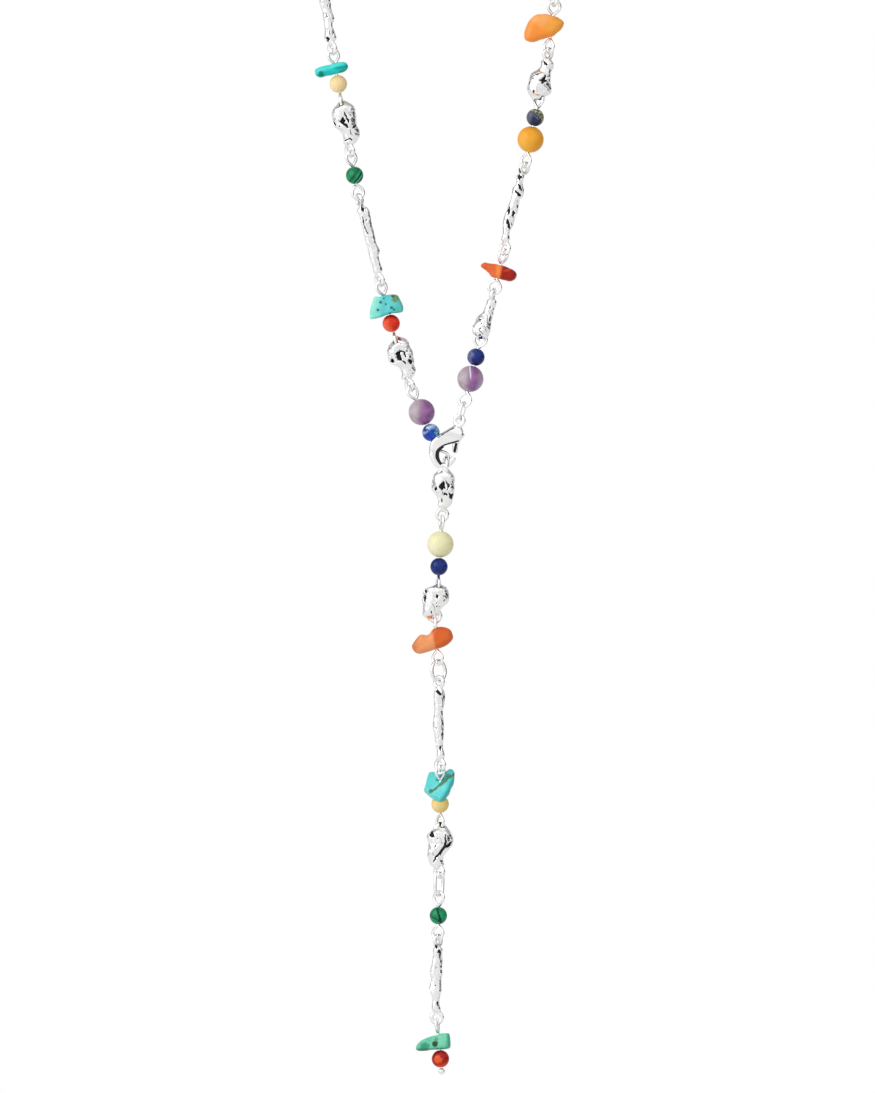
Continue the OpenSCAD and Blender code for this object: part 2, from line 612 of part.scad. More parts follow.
module clasp_shape() {
    line = [for (s = CLASP_LINE) [0, s[0] * clasp_width, s[1] * clasp_length]];
    loft([for (k = [0 : len(line) - 1])
        let (
            t = unit(line[min(k + 1, len(line) - 1)] - line[max(k - 1, 0)]),
            side = clasp_half(CLASP_LINE[k]) * cross([1, 0, 0], t),
            front = clasp_half_depth(CLASP_LINE[k]) * [1, 0, 0]
        )
        [for (j = [0 : clasp_sides - 1]) let (a = 360 * j / clasp_sides)
            line[k] + sin(a) * front + cos(a) * side]]);
}

module at_pivot() {
    translate([0, pivot_side * clasp_width, pivot_up * clasp_length]) children();
}

pivot_eye_d = pivot_d + 2 * pivot_gap + 0.9;

module clasp_metal() {
    slot = lever_depth + 2 * lever_gap;
    turn = LOOP_LINKS[len(LOOP_LINKS) - 2][TURN] + 90;
    difference() {
        clasp_shape();
        at_pivot() rotate([0, 90, 0]) cylinder(d = pivot_eye_d + 2 * lever_gap, h = slot, center = true);
        // Room for the lever while closed and while swung in
        at_pivot() for (swing = [0, lever_travel]) rotate([-swing, 0, 0])
            translate([-slot / 2, -pivot_eye_d / 2 - lever_gap, -clasp_length / 3])
                cube([slot, clasp_width / 2, clasp_length / 3]);
        at_pivot() translate([-slot / 2, 0, -clasp_length / 3])
            cube([slot, clasp_width / 2, clasp_length / 2]);
    }
    at_pivot() rotate([0, 90, 0]) cylinder(d = pivot_d, h = clasp_depth * 0.9, center = true);
    translate([0, 0, clasp_length]) rotate([0, 0, -turn]) ring(clasp_ring_r, clasp_ring_wire);
}

module lever_metal() {
    tip = [(lever_tip_side - pivot_side) * clasp_width, (lever_tip_up - pivot_up) * clasp_length];
    bow = lever_bow * clasp_width;
    at_pivot() rotate([90, 0, 90]) translate([0, 0, -lever_depth / 2]) difference() {
        linear_extrude(lever_depth) {
            circle(d = pivot_eye_d);
            hull() {
                circle(d = pivot_eye_d);
                translate([tip[0] / 2 + bow, tip[1] / 2]) circle(d = lever_width);
            }
            hull() {
                translate([tip[0] / 2 + bow, tip[1] / 2]) circle(d = lever_width);
                translate([tip[0], tip[1] + lever_width / 2]) circle(d = lever_width);
            }
            hull() {
                circle(d = lever_pad_width);
                rotate(50) translate([lever_pad, 0]) circle(d = lever_pad_width);
            }
        }
        translate([0, 0, -1]) cylinder(d = pivot_d + 2 * pivot_gap, h = lever_depth + 2);
    }
}

// Nodes

module metal_on(links, joints, name, upside_down) {
    for (i = [0 : len(links) - 1]) {
        if (links[i][NODE] == name) {
            kind = links[i][KIND];
            if (kind != "clasp") on_link(joints, i) {
                if (is_pin(kind)) pin_metal(links, i);
                if (is_casting(kind)) casting_metal(links, i, upside_down);
                if (kind == "jump" || kind == "oval" || kind == "link") {
                    rotate([0, 0, links[i][TURN]]) translate([0, 0, -start_lap(links, i)]) {
                        if (kind == "jump") translate([0, 0, (jump_outer - jump_wire) / 2])
                            ring((jump_outer - jump_wire) / 2, jump_wire);
                        if (kind == "oval") long_ring(oval_length, oval_width, oval_wire);
                        if (kind == "link") long_ring(link_length, link_width, oval_wire);
                    }
                }
            }
        }
    }
}

module metal(name) {
    color("silver") {
        metal_on(LOOP_LINKS, loop_joints, name, false);
        metal_on(DROP_LINKS, drop_joints, name, true);
    }
}

module stones(name, colour) {
    color(colour) {
        stones_on(LOOP_LINKS, loop_joints, name);
        stones_on(DROP_LINKS, drop_joints, name);
    }
}

module clasp_body() {
    color("silver") on_clasp() clasp_metal();
}

module clasp_lever() {
    color("silver") on_clasp() lever_metal();
}

METAL_NODES = [
    "left_bar_1", "left_bar_2", "left_knot_1", "left_knot_2", "left_pins",
    "right_bar_1", "right_bar_2", "right_knot_1", "right_knot_2", "right_pins", "right_link",
    "drop_knot_1", "drop_knot_2", "drop_knot_3", "drop_bar_1", "drop_bar_2", "drop_jump_ring",
    "drop_oval_ring", "drop_pins", "back_bars", "back_knots", "back_pins"
];
// Nodes of stones, each with its colour
STONE_NODES = [
    ["left_turquoise_stick", [0.1, 0.7, 0.68]], ["left_cream_bead", [0.93, 0.82, 0.58]],
    ["left_malachite_bead", [0.05, 0.5, 0.34]], ["left_turquoise_block", [0.35, 0.77, 0.75]],
    ["left_carnelian_bead", [0.85, 0.2, 0.06]], ["left_amethyst_bead", [0.58, 0.43, 0.62]],
    ["left_lapis_bead", [0.05, 0.16, 0.48]], ["right_orange_bean", [0.93, 0.58, 0.25]],
    ["right_lapis_bead_1", [0.22, 0.24, 0.34]], ["right_yellow_bead", [0.93, 0.63, 0.16]],
    ["right_orange_dart", [0.85, 0.35, 0.18]], ["right_lapis_bead_2", [0.06, 0.16, 0.42]],
    ["right_amethyst_bead", [0.55, 0.4, 0.66]], ["drop_pale_bead", [0.91, 0.89, 0.72]],
    ["drop_lapis_bead", [0.05, 0.16, 0.42]], ["drop_orange_lobe", [0.85, 0.43, 0.18]],
    ["drop_turquoise_leaf", [0.42, 0.86, 0.83]], ["drop_cream_bead", [0.92, 0.8, 0.46]],
    ["drop_malachite_bead", [0.04, 0.45, 0.3]], ["drop_turquoise_drop", [0.35, 0.77, 0.64]],
    ["drop_carnelian_bead", [0.72, 0.12, 0.04]], ["back_turquoise_chips", [0.35, 0.77, 0.75]],
    ["back_orange_chips", [0.9, 0.5, 0.2]], ["back_lapis_beads", [0.05, 0.16, 0.44]],
    ["back_yellow_beads", [0.93, 0.68, 0.25]], ["back_amethyst_beads", [0.57, 0.42, 0.64]],
    ["back_carnelian_beads", [0.82, 0.18, 0.05]], ["back_malachite_beads", [0.05, 0.48, 0.32]],
    ["back_cream_beads", [0.92, 0.8, 0.52]]
];

for (name = METAL_NODES) metal(name);
for (s = STONE_NODES) stones(s[0], s[1]);
clasp_body();
clasp_lever();
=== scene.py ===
"""Y necklace: cast silver bars and knots, bent wire pins, drilled stones and a lobster clasp.

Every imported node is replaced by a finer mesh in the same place. Lengths are millimetres until a mesh is made.
The first half works out the chain as the CAD does, the second half shapes, dresses, lights and frames it.
"""
import json
import math

import bpy
import numpy as np
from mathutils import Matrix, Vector


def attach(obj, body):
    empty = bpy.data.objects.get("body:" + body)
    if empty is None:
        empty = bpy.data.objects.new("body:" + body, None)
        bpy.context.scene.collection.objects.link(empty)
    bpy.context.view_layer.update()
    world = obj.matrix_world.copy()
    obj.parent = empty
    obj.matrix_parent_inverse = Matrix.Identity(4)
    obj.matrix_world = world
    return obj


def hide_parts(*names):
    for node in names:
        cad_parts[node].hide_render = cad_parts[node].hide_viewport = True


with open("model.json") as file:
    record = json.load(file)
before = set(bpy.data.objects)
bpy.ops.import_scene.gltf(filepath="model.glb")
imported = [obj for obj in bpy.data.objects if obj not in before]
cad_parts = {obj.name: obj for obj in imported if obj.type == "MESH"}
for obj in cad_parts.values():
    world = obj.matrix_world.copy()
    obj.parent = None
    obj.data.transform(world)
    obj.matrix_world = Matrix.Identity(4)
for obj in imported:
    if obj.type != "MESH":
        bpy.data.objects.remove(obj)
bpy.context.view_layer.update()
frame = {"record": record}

MM = 0.001
COARSE = 1
# The photo's height in pixels and its scale
PHOTO_HEIGHT, PX_PER_MM = 1093, 4.4

# Sizes, as in the CAD
EYE_WIRE, EYE_OUTER, NECK, JUNCTION_NECK, HEAD_D = 0.7, 3.5, 0.2, 2.5, 1.5
BAIL_WIRE, BAIL_OUTER = 0.9, 3.3
WIDE_WIRE, WIDE_OUTER = 0.8, 4.9
JUMP_WIRE, JUMP_OUTER = 0.8, 5.5
OVAL_WIRE, OVAL_LENGTH, OVAL_WIDTH = 0.7, 5.8, 3.4
LINK_LENGTH, LINK_WIDTH = 4.8, 3.0
CLASP_LENGTH, CLASP_WIDTH = 10.7, 7.0
CLASP_RING_OUTER, CLASP_RING_WIRE = 3.0, 0.85
LEVER_DEPTH, LEVER_WIDTH, LEVER_BOW, LEVER_TIP_SIDE = 1.1, 1.3, -0.14, 0.14
LEVER_PAD, LEVER_PAD_WIDTH, LEVER_TRAVEL = 1.25, 1.1, 28
PIVOT_D, PIVOT_GAP, LEVER_GAP = 0.7, 0.04, 0.12
BORE_D, LINK_GAP, STONE_GAP, SLOT_GAP = 0.9, 0.15, 0.1, 0.35
JUNCTION_UP, NECK_MIDDLE = 0.6, 52

EYE_R = (EYE_OUTER - EYE_WIRE) / 2
BAIL_R = (BAIL_OUTER - BAIL_WIRE) / 2
WIDE_R = (WIDE_OUTER - WIDE_WIRE) / 2
CLASP_RING_R = (CLASP_RING_OUTER - CLASP_RING_WIRE) / 2
EYE_REACH = NECK + EYE_OUTER / 2 + EYE_R

# Length of a casting over its bails
CASTING_LENGTH = {"bar": 22.1, "last_bar": 20.8, "knot": 12.3, "long_knot": 13.0, "short_knot": 8.9}
TOP_KNOT_LENGTH = 12.7
# Height of a stone along its pin, and its length across
STONE_HEIGHT = {"small": 4, "large": 6, "stick": 2.4, "block": 4.4, "leaf": 3.1, "drop": 3.6, "bean": 5.1,
                "dart": 3.4, "lobe": 3.9}
# Length and depth of the chips behind the neck
CHIP_LENGTH = {"stick": 7.6, "block": 8, "bean": 9.2}
CHIP_DEPTH = 4

# Points that the loop and the drop run through, from the last pin's eye behind the hook
LOOP_ROUTE = [
    (-0.3, 0.85, 0), (-7.9, 2.1, 16.7), (-14.8, 0.9, 40.6), (-19.7, 0.4, 60.3), (-25.6, 0, 93.5),
    (-28.6, 1.2, 112), (-32, 6, 123), (-37.5, 14, 133), (-44, 26, 143), (-48.5, 44, 152.5), (-47, 67, 162),
    (-37, 87, 169), (-20, 101, 173), (0, 105, 174), (20, 101, 173), (37, 87, 169), (47, 67, 162),
    (48, 44, 152.5), (42.5, 26, 143), (35.8, 13, 133), (29.5, 2.6, 122.6), (24.9, 0, 104.9),
    (23.4, 0, 93.6), (18.1, 0, 67.5), (13.3, 0, 47.5), (8.1, 0, 28.4), (4.0, -0.3, 12.4), (0.2, -0.4, -1),
]
NAPE_INDEX = 13
# Links turn outwards from the neck's middle this far behind the front
TURN_DEPTH = 40
DROP_ROUTE = [
    (0, 0, 0), (-0.8, 0, -13.0), (-1.8, 0, -29.1), (-2.4, 0, -35.9), (-1.5, 0, -49.5), (-1.2, 0, -76.2),
    (-1.5, 0, -98.1), (-2.0, 0, -127.3), (-0.8, 0, -139.5),
]

# Links: node of the metal, kind, how far the ring at the far end is turned from facing front, and the stones
LEFT_LINKS = [
    ("left_pins", "junction_pin", 40, [("left_lapis_bead", "small"), ("left_amethyst_bead", "large")]),
    ("left_knot_2", "knot", -5, []),
    ("left_pins", "pin", 40, [("left_carnelian_bead", "small"), ("left_turquoise_block", "block")]),
    ("left_bar_2", "bar", -65, []),
    ("left_pins", "pin", 40, [("left_malachite_bead", "small")]),
    ("left_knot_1", "long_knot", -5, []),
    ("left_pins", "pin", 35, [("left_cream_bead", "small"), ("left_turquoise_stick", "stick")]),
    ("left_bar_1", "bar", 0, []),
]
REPEAT_LINKS = [
    ("back_pins", "pin", 90, [("back_orange_chips", "bean")]),
    ("back_knots", "knot", 0, []),
    ("back_pins", "pin", 90, [("back_lapis_beads", "small"), ("back_yellow_beads", "large")]),
    ("back_knots", "knot", 0, []),
    ("back_pins", "pin", 90, [("back_lapis_beads", "small"), ("back_amethyst_beads", "large")]),
    ("back_knots", "knot", 0, []),
    ("back_pins", "pin", 90, [("back_carnelian_beads", "small"), ("back_turquoise_chips", "block")]),
    ("back_bars", "bar", 0, []),
    ("back_pins", "pin", 90, [("back_malachite_beads", "small")]),
    ("back_knots", "knot", 0, []),
    ("back_pins", "pin", 90, [("back_cream_beads", "small"), ("back_turquoise_chips", "stick")]),
]
RIGHT_LINKS = [
    ("right_bar_1", "bar", 70, []),
    ("right_pins", "pin", 45, [("right_orange_bean", "bean")]),
    ("right_knot_1", "knot", -40, []),
    ("right_pins", "pin", 45, [("right_lapis_bead_1", "small"), ("right_yellow_bead", "large")]),
    ("right_bar_2", "bar", 40, []),
    ("right_pins", "pin", 10, [("right_orange_dart", "dart")]),
    ("right_knot_2", "knot", -80, []),
    ("right_pins", "pin", 20, [("right_lapis_bead_2", "small"), ("right_amethyst_bead", "large")]),
    ("right_link", "link", 110, []),
    ("clasp_body", "clasp", 0, []),
]
LOOP_LINKS = LEFT_LINKS + REPEAT_LINKS + [("back_bars", "bar", 0, [])] + REPEAT_LINKS + RIGHT_LINKS
DROP_LINKS = [
    ("drop_knot_1", "top_knot", -15, []),
    ("drop_pins", "pin", 80, [("drop_pale_bead", "large"), ("drop_lapis_bead", "small")]),
    ("drop_knot_2", "short_knot", -5, []),
    ("drop_pins", "pin", 40, [("drop_orange_lobe", "lobe")]),
    ("drop_jump_ring", "jump", 130, []),
    ("drop_bar_1", "bar", 40, []),
    ("drop_pins", "pin", 60, [("drop_turquoise_leaf", "leaf"), ("drop_cream_bead", "small")]),
    ("drop_knot_3", "long_knot", 40, []),
    ("drop_oval_ring", "oval", 130, []),
    ("drop_pins", "pin", 35, [("drop_malachite_bead", "small")]),
    ("drop_bar_2", "last_bar", 10, []),
    ("drop_pins", "head_pin", 0, [("drop_turquoise_drop", "drop"), ("drop_carnelian_bead", "small")]),
]
PINS = ("pin", "junction_pin", "head_pin")
BARS = ("bar", "last_bar")
KNOTS = ("knot", "long_knot", "short_knot", "top_knot")
BEADS = ("small", "large")
TOP_KNOT_TURN = 80


# The chain
def wire_of(kind):
    if kind in PINS:
        return EYE_WIRE
    if kind in BARS + KNOTS:
        return BAIL_WIRE
    return {"jump": JUMP_WIRE, "clasp": CLASP_RING_WIRE}.get(kind, OVAL_WIRE)


def hang(a, b):
    """Distance between the wires' middles where two links hang in each other."""
    return (wire_of(a) + wire_of(b)) / 2 + LINK_GAP


JUNCTION_DROP = hang("pin", "bar") / 2 + JUNCTION_UP


def stack_height(stones):
    return sum(STONE_HEIGHT[kind] for _, kind in stones) + STONE_GAP * (len(stones) + 1)


def wire_length(link):
    """From the middle of the first end's wire to the middle of the last end's wire."""
    _, kind, _, stones = link
    if kind == "pin":
        return stack_height(stones) + 2 * EYE_REACH
    if kind == "junction_pin":
        return stack_height(stones) + 2 * EYE_REACH - NECK + JUNCTION_NECK
    if kind == "head_pin":
        return stack_height(stones) + EYE_REACH + HEAD_D
    if kind == "top_knot":
        return TOP_KNOT_LENGTH - BAIL_WIRE / 2
    if kind in CASTING_LENGTH:
        return CASTING_LENGTH[kind] - BAIL_WIRE
    return {"jump": JUMP_OUTER - JUMP_WIRE, "oval": OVAL_LENGTH - OVAL_WIRE, "link": LINK_LENGTH - OVAL_WIRE,
            "clasp": CLASP_LENGTH + CLASP_RING_R}[kind]


def unit(v):
    return v / np.linalg.norm(v)


def smooth_line(points, steps=10):
    """The CAD's smooth line through a route's points."""
    p = np.array(points, float)
    tangents = []
    for i in range(len(p)):
        a, b = p[max(i - 1, 0)], p[min(i + 1, len(p) - 1)]
        tangents.append((b - a) / (np.linalg.norm(b - p[i]) + np.linalg.norm(p[i] - a)))
    line = []
    for i in range(len(p) - 1):
        d = np.linalg.norm(p[i + 1] - p[i])
        for k in range(steps):
            t = k / steps
            rise = 3 * t ** 2 - 2 * t ** 3
            line.append((1 - rise) * p[i] + (t ** 3 - 2 * t ** 2 + t) * d * tangents[i]
                        + rise * p[i + 1] + (t ** 3 - t ** 2) * d * tangents[i + 1])
    line.append(p[-1])
    return np.array(line)


class Link:
    """One link of the chain, with its frame: z along the link, x outwards from the neck."""

    def __init__(self, links, i):
        self.node, self.kind, self.turn, self.stones = links[i]
        self.first_turn = links[i - 1][2] + 90 if i else 0
        if self.kind == "junction_pin":
            self.first = hang("pin", "bar") / 2
        elif self.kind == "top_knot":
            self.first = -JUNCTION_DROP
            self.first_turn = TOP_KNOT_TURN
        else:
            self.first = hang(links[i - 1][1], self.kind) / 2
        self.last = 0 if i == len(links) - 1 else hang(self.kind, links[i + 1][1]) / 2
        self.pitch = wire_length(links[i]) - self.first - self.last
        neck = JUNCTION_NECK if self.kind == "junction_pin" else NECK
        # Where a pin's first stone begins
        self.seat = neck + EYE_OUTER / 2 + EYE_R - self.first

    def place(self, start, end, front):
        self.start = start
        self.z = unit(end - start)
        self.x = unit(front - np.dot(front, self.z) * self.z)
        self.y = np.cross(self.z, self.x)
        self.down = end[2] < start[2]

    def world(self, p):
        """Points of the link's own frame, in the frame of the necklace."""
        p = np.asarray(p, float)
        return self.start + p @ np.array([self.x, self.y, self.z])


def across(turn):
    """Direction across a ring that is turned by this much, in its link's own frame."""
    a = math.radians(turn)
    return np.array([-math.sin(a), math.cos(a), 0.0])


def hang_chain(table, route, junction=None):
    """Makes the links of one chain and sets them along its route, which grows or shrinks with them."""
    links = [Link(table, i) for i in range(len(table))]
    marks = np.concatenate([[0], np.cumsum([k.pitch for k in links])])
    line = smooth_line(route)
    lengths = np.concatenate([[0], np.cumsum(np.linalg.norm(np.diff(line, axis=0), axis=1))])
    scale = marks[-1] / lengths[-1]
    if junction is None:
        junction = -scale * np.array(route[NAPE_INDEX], float)
    joints = np.stack([np.interp(marks / scale, lengths, line[:, k]) for k in range(3)], 1)
    joints = joints * scale + junction
    return links, joints, scale, junction


def outward(p, junction, loop_scale):
    y = p[1] - junction[1]
    return np.array([p[0] * min(1, max(0, y / TURN_DEPTH)), y - NECK_MIDDLE * loop_scale, 0])


loop, loop_joints, loop_scale, JUNCTION = hang_chain(LOOP_LINKS, LOOP_ROUTE)
drop, drop_joints, _, _ = hang_chain(DROP_LINKS, DROP_ROUTE, JUNCTION)
for chain, joints in ((loop, loop_joints), (drop, drop_joints)):
    for k, link in enumerate(chain):
        a, b = joints[k], joints[k + 1]
        link.place(a, b, outward((a + b) / 2, JUNCTION, loop_scale))


# Meshes
class Mesh:
    """Vertices, faces and a darkening value for each vertex (patina, and painted shade and dark reflection),
    gathered in millimetres.
    """

    def __init__(self):
        self.verts, self.faces, self.tarnish, self.count = [], [], [], 0

    def add(self, verts, faces, tarnish=None):
        verts = np.asarray(verts, float)
        self.verts.append(verts)
        self.faces += [[k + self.count for k in f] for f in faces]
        self.tarnish.append(np.zeros(len(verts)) if tarnish is None else tarnish)
        self.count += len(verts)

    def build(self, node, slot, material, body="necklace"):
        mesh = bpy.data.meshes.new(node + "_look")
        mesh.from_pydata((np.concatenate(self.verts) * MM).tolist(), [], self.faces)
        mesh.update()
        # Per-vertex darkening: patina, and painted shade and dark reflection
        values = mesh.attributes.new("tarnish", "FLOAT", "POINT")
        values.data.foreach_set("value", np.concatenate(self.tarnish))
        mesh.shade_smooth()
        mesh.materials.append(material)
        obj = bpy.data.objects.new(node + "_look", mesh)
        bpy.context.scene.collection.objects.link(obj)
        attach(obj, body)
        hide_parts(node)
        return obj


# A wire's rounded end: each ring's share of the radius, and how far out it stands
END_RINGS = ((0.8, 0.45), (0.45, 0.75))


def tube(path, radius, sides=12, closed=False):
    """A round wire along a path, with rounded ends unless it is closed."""
    path = np.asarray(path, float)
    n = len(path)
    if closed:
        tangent = np.roll(path, -1, 0) - np.roll(path, 1, 0)
    else:
        tangent = np.gradient(path, axis=0)
    tangent /= np.linalg.norm(tangent, axis=1)[:, None]
    helper = np.array([1.0, 0, 0]) if abs(tangent[0][0]) < 0.8 else np.array([0, 1.0, 0])
    side = unit(helper - np.dot(helper, tangent[0]) * tangent[0])
    normals = []
    for t in tangent:
        side = unit(side - np.dot(side, t) * t)
        normals.append(side)
    normals = np.array(normals)
    angles = np.zeros(n)
    if closed:
        # Spreads the twist that is left after one round
        first, last = normals[0], normals[-1]
        drift = math.atan2(np.dot(np.cross(first, last), tangent[0]), np.dot(first, last))
        angles = -drift * np.arange(n) / n
    binormals = np.cross(tangent, normals)
    radius = np.broadcast_to(radius, (n,))
    rings = []
    for j in range(sides):
        a = angles + 2 * math.pi * j / sides
        rings.append(path + radius[:, None] * (np.cos(a)[:, None] * normals + np.sin(a)[:, None] * binormals))
    verts = np.stack(rings, 1).reshape(-1, 3)
    faces = []
    for i in range(n if closed else n - 1):
        m = (i + 1) % n
        for j in range(sides):
            k = (j + 1) % sides
            faces.append((i * sides + j, i * sides + k, m * sides + k, m * sides + j))
    if closed:
        return verts, faces
    for end, sign in ((0, -1), (n - 1, 1)):
        caps = [end * sides]
        last_ring = verts[caps[0]:caps[0] + sides] - path[end]
        for share, out in END_RINGS:
            ring = path[end] + last_ring * share + sign * out * radius[end] * tangent[end]
            caps.append(len(verts))
            verts = np.concatenate([verts, ring])
        for low, high in zip(caps[:-1], caps[1:]):
            for j in range(sides):
                k = (j + 1) % sides
                faces.append((low + j, low + k, high + k, high + j)[::sign])
        faces.append(tuple(caps[-1] + j for j in range(sides))[::sign])
    return verts, faces


# Step for a field's slope, and the least slope squared that counts
SLOPE_STEP, LEAST_SLOPE = 0.02, 0.04


def surface(field, low, high, cell):
    """The zero surface of a field as a closed mesh: one vertex in each cell that the surface crosses."""
    cell = cell * COARSE
    low, high = np.asarray(low, float) - 2 * cell, np.asarray(high, float) + 2 * cell
    axes = [np.arange(low[k], high[k] + cell, cell) for k in range(3)]
    shape = [len(a) for a in axes]
    grid = np.stack(np.meshgrid(*axes, indexing="ij"), -1).reshape(-1, 3)
    values = field(grid).reshape(shape)
    for k in range(3):
        # Nothing may cross the edge of the grid
        layers = np.moveaxis(values, k, 0)
        layers[[0, -1]] = np.maximum(layers[[0, -1]], 0.5 * cell)
    inside = values < 0
    total = np.zeros([s - 1 for s in shape] + [3])
    hits = np.zeros([s - 1 for s in shape])
    quads = []
    for axis in range(3):
        a = [slice(None)] * 3
        b = [slice(None)] * 3
        a[axis], b[axis] = slice(0, -1), slice(1, None)
        va, vb = values[tuple(a)], values[tuple(b)]
        crossed = (va < 0) != (vb < 0)
        i, j, k = np.nonzero(crossed)
        share = va[crossed] / (va[crossed] - vb[crossed])
        point = np.stack([i, j, k], 1).astype(float)
        point[:, axis] += share
        u, v = [m for m in range(3) if m != axis]
        corners = []
        for du, dv in ((0, 0), (-1, 0), (-1, -1), (0, -1)):
            c = np.stack([i, j, k], 1)
            c[:, u] += du
            c[:, v] += dv
            corners.append(c)
            flat = np.ravel_multi_index(tuple(c.T), hits.shape)
            hits += np.bincount(flat, minlength=hits.size).reshape(hits.shape)
            for m in range(3):
                total[..., m] += np.bincount(flat, point[:, m], hits.size).reshape(hits.shape)
        solid = inside[tuple(a)][crossed]
        flip = solid if axis != 1 else ~solid
        corners = np.stack(corners, 1)
        corners[flip] = corners[flip][:, ::-1]
        quads.append(corners)
    index = -np.ones(hits.shape, int)
    used = hits > 0
    index[used] = np.arange(used.sum())
    verts = low + cell * (total[used] / hits[used][:, None])
    quads = np.concatenate(quads)
    faces = index[quads[..., 0], quads[..., 1], quads[..., 2]]
    # Two steps along the slope put the vertices on the surface itself
    for _ in range(2):
        value = field(verts)
        slope = [field(verts + SLOPE_STEP * e) - field(verts - SLOPE_STEP * e) for e in np.eye(3)]
        slope = np.stack(slope, 1) / (2 * SLOPE_STEP)
        size = np.maximum((slope ** 2).sum(1), LEAST_SLOPE)
        step = -(value / size)[:, None] * slope
        length = np.linalg.norm(step, axis=1)[:, None]
        verts = verts + step * np.minimum(1, 0.35 * cell / np.maximum(length, 1e-9))
    return verts, faces


# Fields: negative inside, in millimetres
def soft_max(a, b, k):
    h = np.clip(0.5 + 0.5 * (a - b) / k, 0, 1)
    return b + (a - b) * h + k * h * (1 - h)


def soft_min(a, b, k):
    return -soft_max(-a, -b, k)


def step_up(x, low, high):
    t = np.clip((x - low) / (high - low), 0, 1)
    return t * t * (3 - 2 * t)


def ring_field(p, centre, normal, radius, wire):
    d = p - centre
    off = d @ normal
    flat = np.sqrt(np.maximum((d ** 2).sum(1) - off ** 2, 0))
    return np.sqrt((flat - radius) ** 2 + off ** 2) - wire / 2


def capsule_field(p, a, b, radius):
    d, ab = p - a, b - a
    t = np.clip(d @ ab / max(ab @ ab, 1e-9), 0, 1)
    return np.linalg.norm(d - t[:, None] * ab, axis=1) - radius


def pillow(edge, off, rounding, half, power, scale):
    """A flat outline's distance field given a half thickness and rounded edges."""
    q = np.clip(1 + edge / rounding, 0, None)
    return ((q ** power + np.abs(off / half) ** power) ** (1 / power) - 1) * scale


# How far a profile's sections are smoothed along it, and the step that they are kept at
BLUR, PROFILE_STEP = 0.3, 0.05


class Profile:
    """Sections along a length, smoothed. Columns: place, low and high of one axis, and of the other."""

    def __init__(self, rows, cap=0.5, blunt=0.0):
        rows = np.array(rows, float)
        self.blunt = blunt
        past = cap + 3 * BLUR
        self.t = np.arange(rows[0, 0] - past, rows[-1, 0] + past, PROFILE_STEP)
        self.ends = rows[0, 0] - cap, rows[-1, 0] + cap
        place = np.concatenate([[self.ends[0]], rows[:, 0], [self.ends[1]]])
        kernel = np.exp(-0.5 * (np.arange(-3 * BLUR, 3 * BLUR + 0.01, PROFILE_STEP) / BLUR) ** 2)
        kernel /= kernel.sum()
        self.values = []
        for low, high in ((1, 2), (3, 4)):
            middle = np.concatenate([[0], (rows[:, low] + rows[:, high]) / 2, [0]])
            middle[0], middle[-1] = middle[1], middle[-2]
            half = np.concatenate([[0], (rows[:, high] - rows[:, low]) / 2, [0]])
            if blunt:
                half[0], half[-1] = half[1], half[-2]
            for column, power in ((middle, 1), (half, 2)):
                line = np.interp(self.t, place, column ** power)
                pad = len(kernel) // 2
                line = np.convolve(np.pad(line, pad, mode="edge"), kernel, mode="valid")[:len(self.t)]
                self.values.append(line ** (1 / power))

    def field(self, place, one, other, power=2.0):
        m1, h1, m2, h2 = [np.interp(place, self.t, v) for v in self.values]
        h1, h2 = np.maximum(h1, 0.02), np.maximum(h2, 0.02)
        g = np.abs((one - m1) / h1) ** power + np.abs((other - m2) / h2) ** power
        if self.blunt:
            past = np.maximum(self.ends[0] + self.blunt - place, place - self.ends[1] + self.blunt)
            g += (np.maximum(past, 0) / self.blunt) ** 2.2
        over = np.maximum(np.maximum(self.t[0] - place, place - self.t[-1]), 0)
        return (g ** (1 / power) - 1) * np.minimum(h1, h2) + over


class Dents:
    """Hammer dents about a set distance apart: 0 on the ridges and 1 in the dents' middles."""

    def __init__(self, rng, low, high, spacing):
        self.low, self.spacing = low - 1.5 * spacing, spacing
        self.count = np.ceil((high - self.low) / spacing).astype(int) + 2
        cells = np.stack(np.meshgrid(*[np.arange(n) for n in self.count], indexing="ij"), -1)
        self.points = self.low + (cells + 0.5 + rng.uniform(-0.45, 0.45, cells.shape)) * spacing

    def depth(self, p, radius):
        cell = np.clip(np.floor((p - self.low) / self.spacing).astype(int), 1, self.count - 2)
        best = np.full(len(p), np.inf)
        for step in np.ndindex(3, 3, 3):
            near = cell + np.array(step) - 1
            dent = self.points[near[:, 0], near[:, 1], near[:, 2]]
            best = np.minimum(best, ((p - dent) ** 2).sum(1))
        return 1 - np.clip(best / radius ** 2, 0, 1)


def waves(p, found):
    """A smooth random field between about -1 and 1."""
    total = np.zeros(len(p))
    for direction, phase in found:
        total += np.sin(p @ direction + phase)
    return total / math.sqrt(len(found))


def random_waves(rng, size, count=9):
    found = []
    for _ in range(count):
        d = rng.normal(size=3)
        length = size * rng.uniform(0.7, 1.4)
        found.append((unit(d) * 2 * math.pi / length, rng.uniform(0, 6.3)))
    return found


def polygon_field(q, points):
    """Distance to the outline of a polygon, negative inside."""
    points = np.array(points, float)
    best = np.full(len(q), np.inf)
    inside = np.zeros(len(q), bool)
    for a, b in zip(points, np.roll(points, -1, 0)):
        best = np.minimum(best, capsule_field(q, a, b, 0))
        crosses = (a[1] > q[:, 1]) != (b[1] > q[:, 1])
        with np.errstate(divide="ignore", invalid="ignore"):
            at = (b[0] - a[0]) * (q[:, 1] - a[1]) / (b[1] - a[1]) + a[0]
        inside ^= crosses & (q[:, 0] < at)
    return np.where(inside, -best, best)


